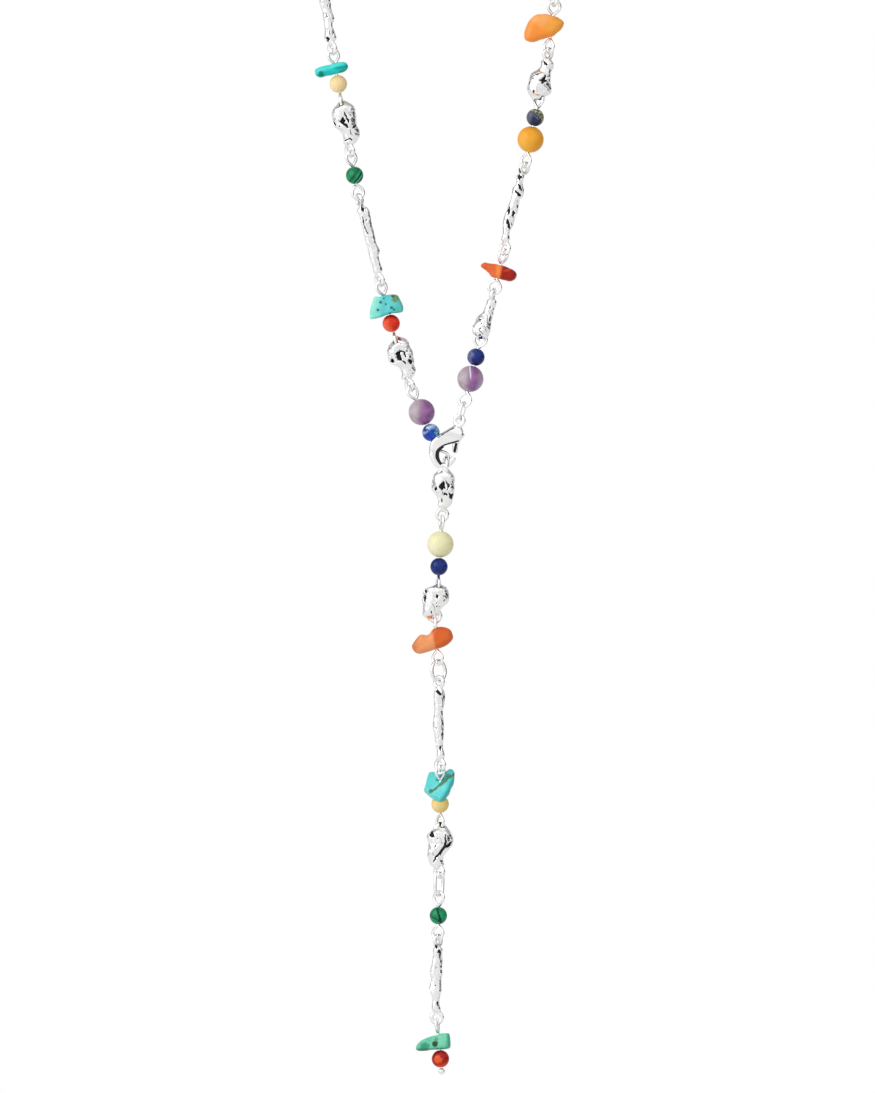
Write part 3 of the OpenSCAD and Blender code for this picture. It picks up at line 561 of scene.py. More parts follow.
def round_outline(points, steps=5):
    """A smooth closed line through the points."""
    p = np.array(points, float)
    line = []
    for i in range(len(p)):
        a, b, c, d = p[i - 1], p[i], p[(i + 1) % len(p)], p[(i + 2) % len(p)]
        for k in range(steps):
            t = k / steps
            line.append(0.5 * (2 * b + (c - a) * t + (2 * a - 5 * b + 4 * c - d) * t ** 2
                               + (3 * b - a - 3 * c + d) * t ** 3))
    return line


class FlatField:
    """Distance to a closed outline, kept on a fine grid."""

    def __init__(self, points, low, high, step=0.05):
        self.low, self.step = np.array(low, float), step
        axes = [np.arange(low[k], high[k] + step, step) for k in range(2)]
        grid = np.stack(np.meshgrid(*axes, indexing="ij"), -1)
        self.values = polygon_field(grid.reshape(-1, 2), points).reshape(grid.shape[:2])

    def at(self, q):
        cell = (q - self.low) / self.step
        cell = np.clip(cell, 0, np.array(self.values.shape) - 1.001)
        i = cell.astype(int)
        f = cell - i
        v = self.values
        x, y = i[:, 0], i[:, 1]
        low = v[x, y] * (1 - f[:, 0]) + v[x + 1, y] * f[:, 0]
        high = v[x, y + 1] * (1 - f[:, 0]) + v[x + 1, y + 1] * f[:, 0]
        return low * (1 - f[:, 1]) + high * f[:, 1]


# Castings
# Outlines as the front shows them. Columns: height over the lower joint, left edge, right edge.
OUTLINES = {
    "left_knot_2": [
        (2.6, -1.4, 1.6), (3.0, -1.3, 2.2), (3.6, -0.9, 2.5), (4.8, -0.95, 2.4), (5.4, -1.25, 2.6),
        (6.0, -1.85, 2.9), (6.6, -2.5, 2.8), (7.2, -2.9, 2.85), (9.6, -2.85, 2.8), (10.4, -2.5, 2.75),
        (11.0, -1.7, 2.4), (11.5, -0.8, 1.8),
    ],
    "left_knot_1": [
        (2.4, -1.2, 1.8), (3.0, -1.0, 2.3), (3.6, -0.9, 2.7), (4.8, -0.95, 2.9), (5.4, -1.35, 2.9),
        (6.0, -1.8, 2.65), (6.6, -2.6, 2.65), (7.2, -2.85, 2.8), (9.6, -2.8, 2.8), (10.6, -2.4, 2.65),
        (11.3, -1.7, 2.0), (11.8, -0.8, 1.3),
    ],
    "right_knot_1": [
        (-0.8, -2.0, 0), (0, -2.6, 0.9), (0.6, -2.85, 2.0), (1.2, -3.1, 2.45), (2.4, -3.15, 2.3),
        (3.6, -3.2, 1.8), (4.8, -2.95, 1.65), (5.4, -2.2, 1.5), (6.0, -1.5, 1.7), (6.6, -1.0, 1.95),
        (7.4, -1.1, 2.05), (8.1, -1.3, 1.8),
    ],
    "right_knot_2": [
        (-0.8, -0.9, 0.9), (0, -2.0, 1.5), (0.6, -2.5, 1.55), (1.8, -2.7, 1.85), (2.4, -2.3, 1.7),
        (3.6, -2.15, 1.3), (4.4, -1.75, 1.25), (5.4, -1.1, 1.45), (7.2, -0.85, 1.4), (8.4, -0.9, 1.4),
    ],
    "drop_knot_1": [
        (2.6, -1.3, 1.6), (3.0, -1.2, 1.9), (3.6, -1.0, 2.25), (4.2, -1.3, 2.1), (4.8, -1.65, 2.15),
        (5.4, -2.0, 2.45), (6.0, -2.7, 2.4), (7.2, -2.85, 2.55), (8.4, -2.85, 2.4), (9.6, -2.65, 2.3),
        (10.2, -2.2, 2.0), (10.8, -1.3, 1.4),
    ],
    "drop_knot_2": [
        (0.6, -3.0, 0.4), (1.2, -3.1, 0.8), (2.4, -3.0, 1.0), (3.0, -3.0, 1.6), (3.6, -3.15, 2.5),
        (4.8, -3.2, 2.85), (6.0, -3.2, 2.75), (6.6, -3.0, 2.6), (7.2, -2.3, 2.2), (7.6, -1.4, 1.6),
    ],
    "drop_knot_3": [
        (2.2, -2.2, 1.2), (3.0, -2.45, 1.0), (4.2, -2.8, 0.9), (4.8, -2.75, 1.2), (5.4, -2.75, 1.8),
        (6.0, -2.7, 2.25), (6.6, -2.65, 2.8), (7.2, -2.6, 3.0), (8.4, -2.9, 3.1), (9.0, -3.05, 3.05),
        (9.6, -2.6, 2.7), (10.4, -1.6, 2.2), (11.2, -1.0, 1.6),
    ],
    "left_bar_2": [
        (2.6, -1.1, 1.15), (4.2, -0.9, 1.05), (6.0, -1.0, 1.1), (7.3, -1.0, 1.7), (8.4, -1.0, 1.35),
        (9.6, -1.0, 1.3), (10.8, -1.0, 1.5), (12, -0.9, 1.45), (13.2, -0.9, 1.3), (14.7, -0.95, 1.6),
        (16.2, -0.9, 1.7), (17.4, -1.25, 1.45),
    ],
    "left_bar_1": [
        (2.6, -1.6, 1.35), (3.6, -1.4, 1.15), (4.2, -1.3, 1.05), (4.8, -1.0, 1.1), (6.0, -1.0, 0.95),
        (7.3, -1.0, 1.55), (8.4, -1.0, 1.45), (9.6, -1.0, 1.25), (10.8, -1.25, 1.3), (12, -1.15, 1.3),
        (14.7, -0.95, 1.6), (16.2, -0.9, 1.7), (17.4, -1.25, 1.45),
    ],
    "right_bar_2": [
        (2.6, -1.6, 0.8), (3.6, -1.3, 0.5), (4.2, -1.4, 0.2), (5.4, -1.6, 0.2), (6.6, -1.85, 0.65),
        (8.4, -1.9, 0.7), (9.0, -1.65, 0.9), (11.4, -1.6, 0.75), (12.4, -1.5, 0.65), (13.2, -1.55, 1.2),
        (14.6, -1.65, 1.1), (15.6, -1.0, 0.6), (16.8, -1.4, 0.4), (17.6, -1.5, 0.6),
    ],
    "drop_bar_1": [
        (2.4, -0.7, 1.2), (3.6, -0.7, 1.05), (4.4, -0.75, 0.7), (5.4, -0.95, 0.8), (6.6, -1.2, 0.85),
        (8.4, -1.5, 0.95), (9.6, -1.6, 1.05), (10.8, -1.5, 0.95), (12, -1.3, 0.95), (13.2, -1.1, 1.0),
        (14.4, -1.3, 1.25), (16.2, -1.4, 1.4), (17.6, -1.2, 1.3),
    ],
    "drop_bar_2": [
        (2.4, -1.2, 1.0), (3.6, -1.1, 0.65), (5.4, -1.05, 0.75), (6.2, -1.5, 0.9), (7.4, -1.8, 1.1),
        (8.4, -1.65, 1.15), (9.4, -1.35, 1.0), (10.4, -1.75, 1.25), (11.6, -1.75, 1.15),
        (13.2, -1.4, 1.15), (14.6, -1.1, 1.2), (16.5, -1.1, 1.25),
    ],
}
# Black creases and pits on the castings' faces: width, then the points that each runs through, across and up
MARKS = {
    "left_knot_1": [
        (0.91, [(-0.4, 8.2), (-0.5, 7.2)]), (0.34, [(0.3, 9.4), (0.6, 8.3), (0.9, 7.0)]),
        (0.41, [(-0.2, 7.0), (0.6, 6.0)]), (0.45, [(1.6, 5.7), (2.3, 6.3)]), (0.27, [(1.5, 8.6)]),
        (0.34, [(-2.4, 8.0), (-2.3, 7.1)]), (0.23, [(-2.1, 10.5)]), (0.27, [(-1.4, 6.6)]),
        (0.25, [(-0.6, 3.1), (0.5, 3.4), (1.1, 2.9)]), (0.18, [(0.8, 5.4), (0.9, 4.7), (1.2, 4.2)]),
        (0.2, [(2.2, 4.3)]),
    ],
    "left_knot_2": [
        (0.68, [(0.1, 8.8), (-0.4, 8.3), (-0.5, 7.4), (-0.1, 6.9)]),
        (0.34, [(0.3, 9.2), (1.0, 8.4), (1.1, 7.2)]), (0.34, [(0.2, 6.6), (0.6, 5.9)]),
        (0.57, [(1.7, 6.4), (1.9, 5.4)]), (0.34, [(2.1, 6.9)]), (0.27, [(1.8, 8.4)]),
        (0.45, [(-2.2, 7.6), (-2.0, 6.8)]), (0.16, [(-2.0, 11.0), (-1.6, 10.1)]),
        (0.18, [(1.8, 4.7), (2.2, 3.4)]),
    ],
    "right_knot_1": [
        (0.32, [(-0.8, 8.2), (-0.1, 7.5), (0.3, 7.2)]), (0.68, [(0.4, 4.8), (0.2, 3.8), (0.0, 3.1)]),
        (0.45, [(-0.6, 3.6), (0.9, 3.7)]), (0.23, [(-2.1, 4.4), (-1.0, 5.1)]),
        (0.2, [(-3.0, 3.0), (-2.8, 2.3)]), (0.32, [(-1.6, 1.3), (-1.4, 0.3)]), (0.18, [(0.5, 1.4)]),
    ],
    "right_knot_2": [
        (0.27, [(0.2, 6.8)]), (0.36, [(-0.9, 2.6), (-0.7, 2.8)]), (0.27, [(-0.7, 1.5)]),
        (0.59, [(-0.4, 0.2), (-0.3, 0.1)]), (0.16, [(-1.6, 3.2), (-0.9, 3.8)]),
    ],
    "drop_knot_1": [
        (1.02, [(-0.3, 7.9), (-0.3, 6.5)]), (0.36, [(0.5, 8.4), (1.0, 7.5), (0.9, 6.6)]),
        (0.25, [(1.8, 7.7)]), (0.41, [(-1.8, 7.0), (-1.8, 6.2)]), (0.2, [(-1.0, 5.7)]),
        (0.41, [(0.1, 5.8), (0.7, 5.2)]), (0.45, [(1.3, 5.8), (1.8, 4.8), (2.1, 5.6)]),
        (0.18, [(-0.3, 4.4), (-0.2, 3.3)]), (0.18, [(1.9, 3.6)]),
    ],
    "drop_knot_2": [
        (0.27, [(-2.7, 6.6), (-2.5, 5.8)]), (0.36, [(-2.7, 5.1), (-2.6, 3.7)]),
        (0.41, [(0.0, 5.6), (0.1, 4.8)]), (0.18, [(0.1, 3.8)]), (0.3, [(0.1, 2.9)]),
        (0.2, [(1.5, 5.6), (2.2, 5.1)]), (0.23, [(1.6, 4.5), (1.8, 4.7)]), (0.16, [(1.8, 6.7)]),
        (0.2, [(-1.1, 1.9), (-0.9, 1.2)]),
    ],
    "drop_knot_3": [
        (0.45, [(-1.8, 10.0), (-2.0, 8.8), (-1.4, 8.9), (-1.8, 10.0)]), (0.2, [(-0.5, 8.3)]),
        (0.18, [(-0.7, 7.1), (-1.2, 6.1)]),
        (0.36, [(1.3, 9.1), (1.3, 8.0), (1.3, 6.8), (0.5, 5.6), (-0.2, 4.8), (-0.9, 3.8), (-1.2, 2.8)]),
        (0.5, [(1.3, 6.2), (2.1, 6.9), (2.8, 7.9)]), (0.27, [(1.9, 8.8), (2.2, 8.3), (2.5, 8.6)]),
        (0.23, [(0.4, 5.4), (0.3, 4.6)]),
    ],
    "left_bar_2": [
        (0.55, [(0.1, 17.7), (0.2, 16.9)]), (0.18, [(0.5, 19.7), (0.2, 17.7)]), (0.32, [(0.4, 14.6)]),
        (0.16, [(-0.2, 15.9), (-0.4, 13.6), (0.2, 10.9)]), (0.2, [(1.1, 6.8)]),
        (0.27, [(-0.9, 2.9), (-0.9, 2.3)]),
    ],
    "left_bar_1": [
        (0.18, [(-0.7, 11.3)]), (0.14, [(-0.2, 8.8), (0.0, 7.9)]), (0.18, [(-0.5, 7.8)]),
        (0.16, [(1.1, 6.7)]), (0.14, [(-0.1, 5.1), (0.1, 3.8)]),
        (0.36, [(-1.1, 3.2), (-0.4, 3.0), (-0.9, 2.3)]),
    ],
    "right_bar_2": [
        (0.27, [(-1.1, 19.2), (-0.8, 18.1)]), (0.5, [(-1.1, 17.2), (-0.1, 17.3)]),
        (0.36, [(-0.8, 18.1), (-0.5, 16.7)]), (0.45, [(-0.3, 15.6), (0.6, 14.4)]),
        (0.45, [(-0.8, 14.2), (0.6, 13.1)]), (0.2, [(0.0, 11.9)]), (0.32, [(-1.2, 10.3), (-1.0, 8.0)]),
        (0.55, [(-0.1, 9.3), (0.2, 8.3)]), (0.5, [(-1.0, 7.4), (-0.6, 6.4), (-0.1, 5.3)]),
    ],
    "drop_bar_1": [
        (0.5, [(-0.9, 18.3), (-0.5, 17.6), (0.4, 16.6)]), (0.16, [(0.7, 16.1), (0.8, 14.6)]),
        (0.27, [(-0.8, 9.1)]), (0.14, [(0.7, 9.6), (0.7, 7.3)]), (0.18, [(-0.2, 6.9)]),
        (0.45, [(0.1, 5.0), (0.1, 3.9)]),
    ],
    "drop_bar_2": [
        (0.45, [(-0.4, 17.4), (-0.3, 16.5)]), (0.5, [(0.2, 16.1), (0.7, 15.0), (0.9, 13.4)]),
        (0.27, [(-0.4, 11.9)]), (0.18, [(0.7, 10.0), (0.8, 6.8)]), (0.25, [(-0.4, 8.1)]),
        (0.41, [(0.1, 4.4), (0.2, 3.4)]),
    ],
}
# Half depth, which the photo doesn't show: of a bar, and of a knot's tail and thickest stretch, with the half
# widths between which the knot grows. The last is for the knot that is seen from its edge
BAR_DEPTH = 1.12
KNOT_DEPTH, KNOT_GROWTH = (1.15, 2.35), (1.3, 2.5)
EDGE_KNOT_DEPTH, EDGE_KNOT_GROWTH = (1.15, 2.75), (1.15, 2.0)
HIDDEN_LIKE = {"back_bars": "left_bar_2", "right_bar_1": "left_bar_2", "back_knots": "left_knot_2"}
# Knots and bars: the dents' distance apart and depth, the folds' slant in radians, the patches that they
# lie in, their depth and how black they are
KNOT_FINISH = {"spacing": 1.5, "dent": 0.15, "lean": 0.55, "patch": (-0.4, 0.5), "fold": 0.21, "black": 0.8}
BAR_FINISH = {"spacing": 1.25, "dent": 0.07, "lean": 0.12, "patch": (0.1, 0.8), "fold": 0.14, "black": 0.62}
DENT_RADIUS, FOLD_SPACING = 1.25, 1.05
# Height of the fine and the wide waves of the surface, and how far waves bend the marks
RIPPLE, SWELL, MARK_WARP = 0.018, 0.08, 0.11
# The marks are this much wider than the table says, as the metal's shine narrows them
MARK_SPREAD = 1.25
# Dents and creases are worked out this close to a casting's surface
DETAIL_REACH = 0.9
# A casting's box across and to the front, and what its bails reach past its joints
CAST_SIDE, CAST_FRONT, BAIL_REACH = 3.6, 3.0, (3.2, 2.2)
# Room round the neighbour's eye in a knot's pocket: past its outline, past its wire's sides, and its length
POCKET_EDGE, POCKET_SIDE, POCKET_LENGTH = 0.14, 0.16, 6.0
CAST_CELL, HIDDEN_CAST_CELL = 0.14, 0.24


def half_depths(name, kind):
    rows = OUTLINES[name]
    if kind in BARS:
        return [BAR_DEPTH] * len(rows)
    (thin, thick), grow = KNOT_DEPTH, KNOT_GROWTH
    if name == "right_knot_2":
        (thin, thick), grow = EDGE_KNOT_DEPTH, EDGE_KNOT_GROWTH
    return [thin + (thick - thin) * float(step_up((right - left) / 2, *grow)) for _, left, right in rows]


def crease_distance(flat, width, points):
    """Distance to a crease, as a share of its half width there. It is widest in its middle."""
    near = np.full(len(flat), np.inf)
    points = [np.array(q) for q in points]
    pairs = list(zip(points, points[1:])) or [(points[0], points[0] + 0.01)]
    for k, (a, b) in enumerate(pairs):
        ab = b - a
        t = np.clip((flat - a) @ ab / (ab @ ab), 0, 1)
        whole = (k + t) / len(pairs)
        half = width * MARK_SPREAD / 2 * (0.5 + 2.2 * whole * (1 - whole) if len(points) > 1 else 1)
        near = np.minimum(near, np.linalg.norm(flat - a - t[:, None] * ab, axis=1) / half)
    return near


class Casting:
    """One casting, in the frame of its outline: across to the right, up, and to the front."""

    def __init__(self, link):
        name = HIDDEN_LIKE.get(link.node, link.node)
        flip = link.down and link.node not in ("back_bars", "back_knots")
        up, front = np.array([0, 0, -1.0 if flip else 1.0]), np.array([1.0, 0, 0])
        self.link = link
        self.axes = np.array([np.cross(up, front), up, front])
        self.base = np.array([0, 0, link.pitch if flip else 0.0])
        self.marks = MARKS[name]
        self.finish = KNOT_FINISH if link.kind in KNOTS else BAR_FINISH
        rows = OUTLINES[name]
        deep = half_depths(name, link.kind)
        self.body = Profile([(up, left, right, -d, d) for (up, left, right), d in zip(rows, deep)])
        self.low = np.array([-CAST_SIDE, rows[0][0] - 1, -CAST_FRONT])
        self.high = np.array([CAST_SIDE, rows[-1][0] + 1, CAST_FRONT])
        rng = np.random.default_rng(sum(ord(c) for c in link.node) + int(link.start[2]))
        self.spots = Dents(rng, self.low, self.high, self.finish["spacing"])
        self.ripple = random_waves(rng, 0.9)
        self.swell = random_waves(rng, 3.5)
        self.warps = random_waves(rng, 1.0), random_waves(rng, 1.0)
        self.patches = random_waves(rng, 3.0)
        self.bails, self.pockets = [], []
        self.add_ends()

    def own(self, v):
        """A point of the link's frame, in the casting's own."""
        return (v - self.base) @ self.axes.T

    def add_ends(self):
        """The bails, and the pocket that a knot's thick end has for its neighbour's eye."""
        link = self.link
        first = BAIL_R - link.first, BAIL_R, BAIL_WIRE
        if link.kind == "top_knot":
            first = -link.first, WIDE_R, WIDE_WIRE
        last = link.pitch + link.last - BAIL_R, BAIL_R, BAIL_WIRE
        in_drop = link.node.startswith("drop")
        first_pocket = in_drop and link.kind in ("short_knot", "long_knot")
        last_pocket = not in_drop and link.kind in KNOTS
        for (z, radius, wire), turn, pocket, joint, sign in (
                (first, link.first_turn, first_pocket, 0, -1), (last, link.turn, last_pocket, link.pitch, 1)):
            side = across(turn)
            normal = self.axes @ np.cross(side, [0, 0, 1.0])
            self.bails.append((self.own(np.array([0, 0, z])), normal, radius, wire))
            if pocket:
                # The neighbour's eye lies in a plane square to this bail
                eye = np.array([0, 0, joint + sign * (EYE_R - hang("pin", "bar") / 2)])
                far = eye + np.array([0, 0, sign * POCKET_LENGTH])
                self.pockets.append((self.own(eye), self.own(far), self.axes @ side))

    def pocket_fields(self, p):
        """Each pocket's outline and its thickness, as two fields."""
        for a, b, normal in self.pockets:
            off = (p - a) @ normal
            outline = capsule_field(p - off[:, None] * normal, a, b, EYE_OUTER / 2 + POCKET_EDGE)
            yield outline, np.abs(off) - EYE_WIRE / 2 - POCKET_SIDE

    def crumple(self, p):
        """How deep the creases and folds reach, and how black they are."""
        u = np.where(p[:, 2] >= 0, p[:, 0], -p[:, 0])
        flat = np.stack([u, p[:, 1]], 1) + MARK_WARP * np.stack([waves(p, w) for w in self.warps], 1)
        depth, black = np.zeros(len(p)), np.zeros(len(p))
        for width, points in self.marks:
            near = crease_distance(flat, width, points)
            depth = np.maximum(depth, (0.15 + 0.75 * width) * (1 - step_up(near, 0.2, 1.5)))
            black = np.maximum(black, 1 - step_up(near, 0.75, 1.2))
        # Folds of the crumpled metal, which run down a bar and slant across a knot
        lean = self.finish["lean"]
        phase = (u * math.cos(lean) + p[:, 1] * math.sin(lean)) * math.pi / FOLD_SPACING
        fold = 1 - step_up(np.abs(np.sin(phase + 1.1 * waves(p, self.swell))), 0.0, 0.42)
        fold *= step_up(waves(p, self.patches), *self.finish["patch"])
        depth = np.maximum(depth, self.finish["fold"] * fold)
        black = np.maximum(black, self.finish["black"] * step_up(fold, 0.45, 0.95))
        facing = step_up(np.abs(p[:, 2]), 0.15, 0.6)
        return depth * facing, black * facing

    def field(self, p):
        shape = self.body.field(p[:, 1], p[:, 0], p[:, 2], 2.3)
        near = np.abs(shape) < DETAIL_REACH
        q = p[near]
        dents = self.finish["dent"] * (self.spots.depth(q, DENT_RADIUS) - 0.4)
        dents = dents + RIPPLE * waves(q, self.ripple) + SWELL * waves(q, self.swell)
        shape[near] += dents + self.crumple(q)[0]
        for outline, thickness in self.pocket_fields(p):
            shape = soft_max(shape, -soft_max(outline, thickness, 0.1), 0.25)
        for bail in self.bails:
            shape = soft_min(shape, ring_field(p, *bail), 0.3 if self.pockets else 0.5)
        return shape

    def mesh(self, cell):
        """The casting with its bails, its dents and its black creases."""
        before, after = BAIL_REACH
        low = np.minimum(self.low, [0, -before, 0])
        high = np.maximum(self.high, [0, self.link.pitch + after, 0])
        verts, faces = surface(self.field, low, high, cell)
        black = self.crumple(verts)[1]
        for outline, thickness in self.pocket_fields(verts):
            # The pocket is painted dark inside as shade
            black = np.maximum(black, 0.8 * (1 - step_up(np.maximum(outline, thickness), -0.1, 0.12)))
        return self.link.world(verts @ self.axes + self.base), faces.tolist(), black


# Pins and rings
# Points of a pin's wire, as shares of the way from its neck out to the eye's circle and back
LEG_SHARES, RETURN_SHARES, EYE_STEPS = (0.12, 0.3, 0.55, 0.8), (0.25, 0.5, 0.72), 22


def eye_path(toward, side, centre, reach, seat):
    """Wire of a teardrop eye: from the shank round the circle and back to the neck.

    toward is 1 or -1 along z from the stones to the eye, reach the circle's distance from the neck's end.
    """
    z = np.array([0, 0, float(toward)])
    apex = centre - reach * z
    start = math.pi / 2 + math.asin(min(0.98, EYE_R / reach))
    a = np.linspace(start, -start, EYE_STEPS)[:, None]
    arc = centre + EYE_R * (np.sin(a) * side + np.cos(a) * z)
    leg = [apex + (arc[0] - apex) * s for s in LEG_SHARES]
    back = [arc[-1] + (apex - arc[-1]) * s for s in RETURN_SHARES]
    return [seat, apex - 0.12 * z] + leg + list(arc) + back


def pin(link):
    """Wires of one pin: an eye at each end, or a ball at its tip."""
    wires = []
    up = np.array([0, 0, 1.0])
    first, last = link.seat * up, (link.seat + stack_height(link.stones)) * up
    # The eye of the longer neck keeps its own shape
    reach = NECK + EYE_OUTER / 2
    path = eye_path(-1, across(link.first_turn), (EYE_R - link.first) * up, reach, first + 0.3 * up)[::-1]
    path.append((first + last) / 2)
    if link.kind == "head_pin":
        wires.append(tube(path + [last], EYE_WIRE / 2))
        a = np.linspace(0.3, math.pi - 0.02, 12)
        wires.append(tube(last + HEAD_D / 2 * (1 - np.cos(a))[:, None] * up, HEAD_D / 2 * np.sin(a), 20))
    else:
        far = (link.pitch + link.last - EYE_R) * up
        path += eye_path(1, -across(link.turn), far, reach, last - 0.3 * up)
        wires.append(tube(path, EYE_WIRE / 2))
    return [(link.world(verts), faces) for verts, faces in wires]


def open_ring(link, length, width, wire, steps=40):
    """A ring of round wire, longer than wide where it is an oval one."""
    r = (width - wire) / 2
    a = 2 * math.pi * np.arange(steps) / steps
    z = r - r * np.cos(a) + np.where(np.cos(a) < 0, length - width, 0) - link.first
    path = np.outer(r * np.sin(a), across(link.turn)) + np.outer(z, [0, 0, 1])
    verts, faces = tube(path, wire / 2, 16, closed=True)
    return link.world(verts), faces


# Stones
# Sections of the chips behind the neck. Columns: place along the length from the bore, height of the
# middle, half height and half depth, as shares of the chip's length, height and depth
CHIPS = {
    "stick": [
        (-0.6, -0.32, 0.16, 0.2), (-0.56, -0.32, 0.4, 0.32), (-0.4, -0.22, 0.5, 0.36),
        (-0.15, -0.06, 0.46, 0.36), (0.1, 0.04, 0.48, 0.36), (0.28, 0.14, 0.5, 0.34),
        (0.36, 0.18, 0.4, 0.28), (0.4, 0.2, 0.16, 0.14),
    ],
    "block": [
        (-0.54, -0.14, 0.2, 0.24), (-0.5, -0.08, 0.42, 0.4), (-0.3, 0.02, 0.5, 0.48), (0, 0, 0.5, 0.5),
        (0.22, 0.03, 0.51, 0.5), (0.38, -0.02, 0.46, 0.44), (0.46, -0.2, 0.22, 0.26),
    ],
    "bean": [
        (-0.72, -0.34, 0.12, 0.16), (-0.68, -0.36, 0.34, 0.32), (-0.5, -0.32, 0.52, 0.44),
        (-0.25, -0.14, 0.56, 0.5), (0, 0, 0.5, 0.5), (0.15, 0.06, 0.42, 0.44), (0.24, 0.1, 0.28, 0.3),
        (0.28, 0.12, 0.1, 0.12),
    ],
}
# Length over which a chip's ends are rounded, and how square its sections are
CHIP_END = 0.9
CHIP_POWER = {"stick": 2.6, "block": 3.2, "bean": 2.1}
# Outline of the leaf across and up its slope from the bore, in millimetres
LEAF = [
    (-3.6, -0.8), (-3.2, 1.6), (-2.6, 4.0), (-1.7, 4.2), (-0.3, 3.5), (1.0, 4.0), (2.1, 5.0), (2.9, 5.0),
    (3.3, 4.0), (2.9, 1.3), (2.1, -1.6), (1.2, -3.2), (0.0, -3.8), (-1.0, -3.3), (-2.2, -2.3),
]
# The leaf's slope over the bead below it, thickness, edge and crown, and how far the eye above it is turned
LEAF_LEAN, LEAF_THICK, LEAF_EDGE, LEAF_CROWN, LEAF_EYE_TURN = 50, 2.0, 0.55, 0.1, -130
# The chips that the photo shows: half depth, rounding, squareness, place of the bore's middle, and outline,
# in pixels read off the photo
SEEN_CHIPS = {
    "stick": (1.35, 1.2, 2.3, (336.4, 70.0), [
        (315.3, 71), (316.5, 75.5), (319.5, 77.9), (323, 78), (327, 76.6), (333, 75.2), (342, 73.3),
        (346, 71.5), (348.4, 68.3), (348, 65), (345.5, 62.7), (342, 62.2), (337, 62.8), (333, 64),
        (327, 65.5), (321, 67), (317, 68.8)]),
    "block": (1.7, 0.8, 3.2, (385.5, 306.7), [
        (368.9, 316), (369.3, 320.3), (374, 320.4), (380, 319), (384, 316.8), (390, 315), (397, 314.6),
        (401.6, 313.3), (402.4, 310), (401, 305), (398.5, 299.6), (396, 296.6), (391, 296), (385, 296.5),
        (380, 298), (375, 298.2), (373, 299.5), (371.5, 304), (369.8, 310)]),
    "drop": (1.7, 1.1, 2.6, (440, 1041.6), [
        (417, 1047.3), (418, 1050), (422, 1051), (432, 1050), (438, 1049.5), (444, 1049), (450, 1048.3),
        (452, 1046), (451.8, 1039), (450.8, 1034.5), (449, 1033), (442, 1033.4), (438, 1034.8),
        (432, 1036), (424, 1039.5), (419, 1043)]),
    "bean": (1.9, 1.9, 2.3, (549.8, 24.0), [
        (522.2, 31), (523, 36.5), (527, 38.9), (533, 38.9), (540, 36.6), (545, 35), (550, 34), (555, 30.2),
        (560, 26), (562.3, 21), (560.5, 17), (555, 14), (549, 12), (540, 11), (533, 12.5), (528, 17),
        (524, 24)]),
    "dart": (1.6, 1.1, 2.4, (499, 271.2), [
        (480.8, 265.8), (482, 263.3), (485, 262.1), (489, 262.8), (497, 263.5), (503, 265), (509, 267),
        (514, 270), (516.6, 273), (516.6, 276.5), (514, 279.6), (509, 280.9), (504, 279.8), (500, 278.4),
        (495, 277.7), (491, 276), (488.5, 273), (485, 269.5)]),
    "lobe": (1.8, 1.7, 2.3, (437.0, 641.0), [
        (412.3, 646), (414, 650.5), (417, 653), (421, 653.6), (428, 652), (433, 650.6), (440, 648.5),
        (446, 646), (451, 642), (453.5, 638), (453, 634), (451, 630), (447, 627.6), (442, 626.8),
        (437, 627.6), (433, 630), (430, 634), (427, 635.4), (422, 634.6), (419, 636), (416.5, 639),
        (414, 642.5)]),
}
# How far a soft wave lifts a stone's surface, and how round the rims of its bore and of its hollows are
SEEN_WAVE, CHIP_WAVE, LEAF_WAVE = 0.05, 0.09, 0.07
BORE_ROUND, HOLLOW_ROUND = 0.16, 0.12
SEEN_CELL, LEAF_CELL, HIDDEN_CHIP_CELL = 0.13, 0.13, 0.22


def drilled(field, p):
    return soft_max(field, BORE_D / 2 - np.hypot(p[:, 0], p[:, 1]), BORE_ROUND)


def seen_chip(link, kind, seed, beads):
    """A chip with the outline that the photo shows, pillowed to both sides. Beads beside it are left room."""
    half, rounding, power, bore, outline = SEEN_CHIPS[kind]
    ripple = random_waves(np.random.default_rng(seed), 3.0)
    to_picture = np.array([[link.y[0], link.z[0]], [link.y[2], link.z[2]]])
    steps = np.array([(x - bore[0], bore[1] - y) for x, y in outline]) / PX_PER_MM
    flat = FlatField(round_outline(np.linalg.solve(to_picture, steps.T).T, 4), (-7, -4.5), (7, 4.5))

    def field(p):
        f = pillow(flat.at(p[:, 1:]), p[:, 0], rounding, half, power, min(rounding, half))
        f = f + SEEN_WAVE * waves(p, ripple)
        for place, radius in beads:
            room = radius + STONE_GAP - np.linalg.norm(p - np.array([0, 0, place]), axis=1)
            f = soft_max(f, room, HOLLOW_ROUND)
        return drilled(f, p)

    return surface(field, (-half - 0.5, -6.5, -4.2), (half + 0.5, 6.5, 4.2), SEEN_CELL)


def chip(kind, seed):
    """A chip of the stretch behind the neck, from its sections."""
    ripple = random_waves(np.random.default_rng(seed), 3.2)
    length, height = CHIP_LENGTH[kind], STONE_HEIGHT[kind]
    rows = []
    for place, middle, half, deep in CHIPS[kind]:
        rows.append((place * length, (middle - half) * height, (middle + half) * height,
                     -deep * CHIP_DEPTH, deep * CHIP_DEPTH))
    shape = Profile(rows, cap=0.05, blunt=CHIP_END)

    def field(p):
        f = shape.field(p[:, 1], p[:, 2], p[:, 0], CHIP_POWER[kind])
        return drilled(f + CHIP_WAVE * waves(p, ripple), p)

    low = (-CHIP_DEPTH * 0.62, rows[0][0] - 0.6, min(r[1] for r in rows) - 0.5)
    high = (CHIP_DEPTH * 0.62, rows[-1][0] + 0.6, max(r[2] for r in rows) + 0.5)
    return surface(field, low, high, HIDDEN_CHIP_CELL)


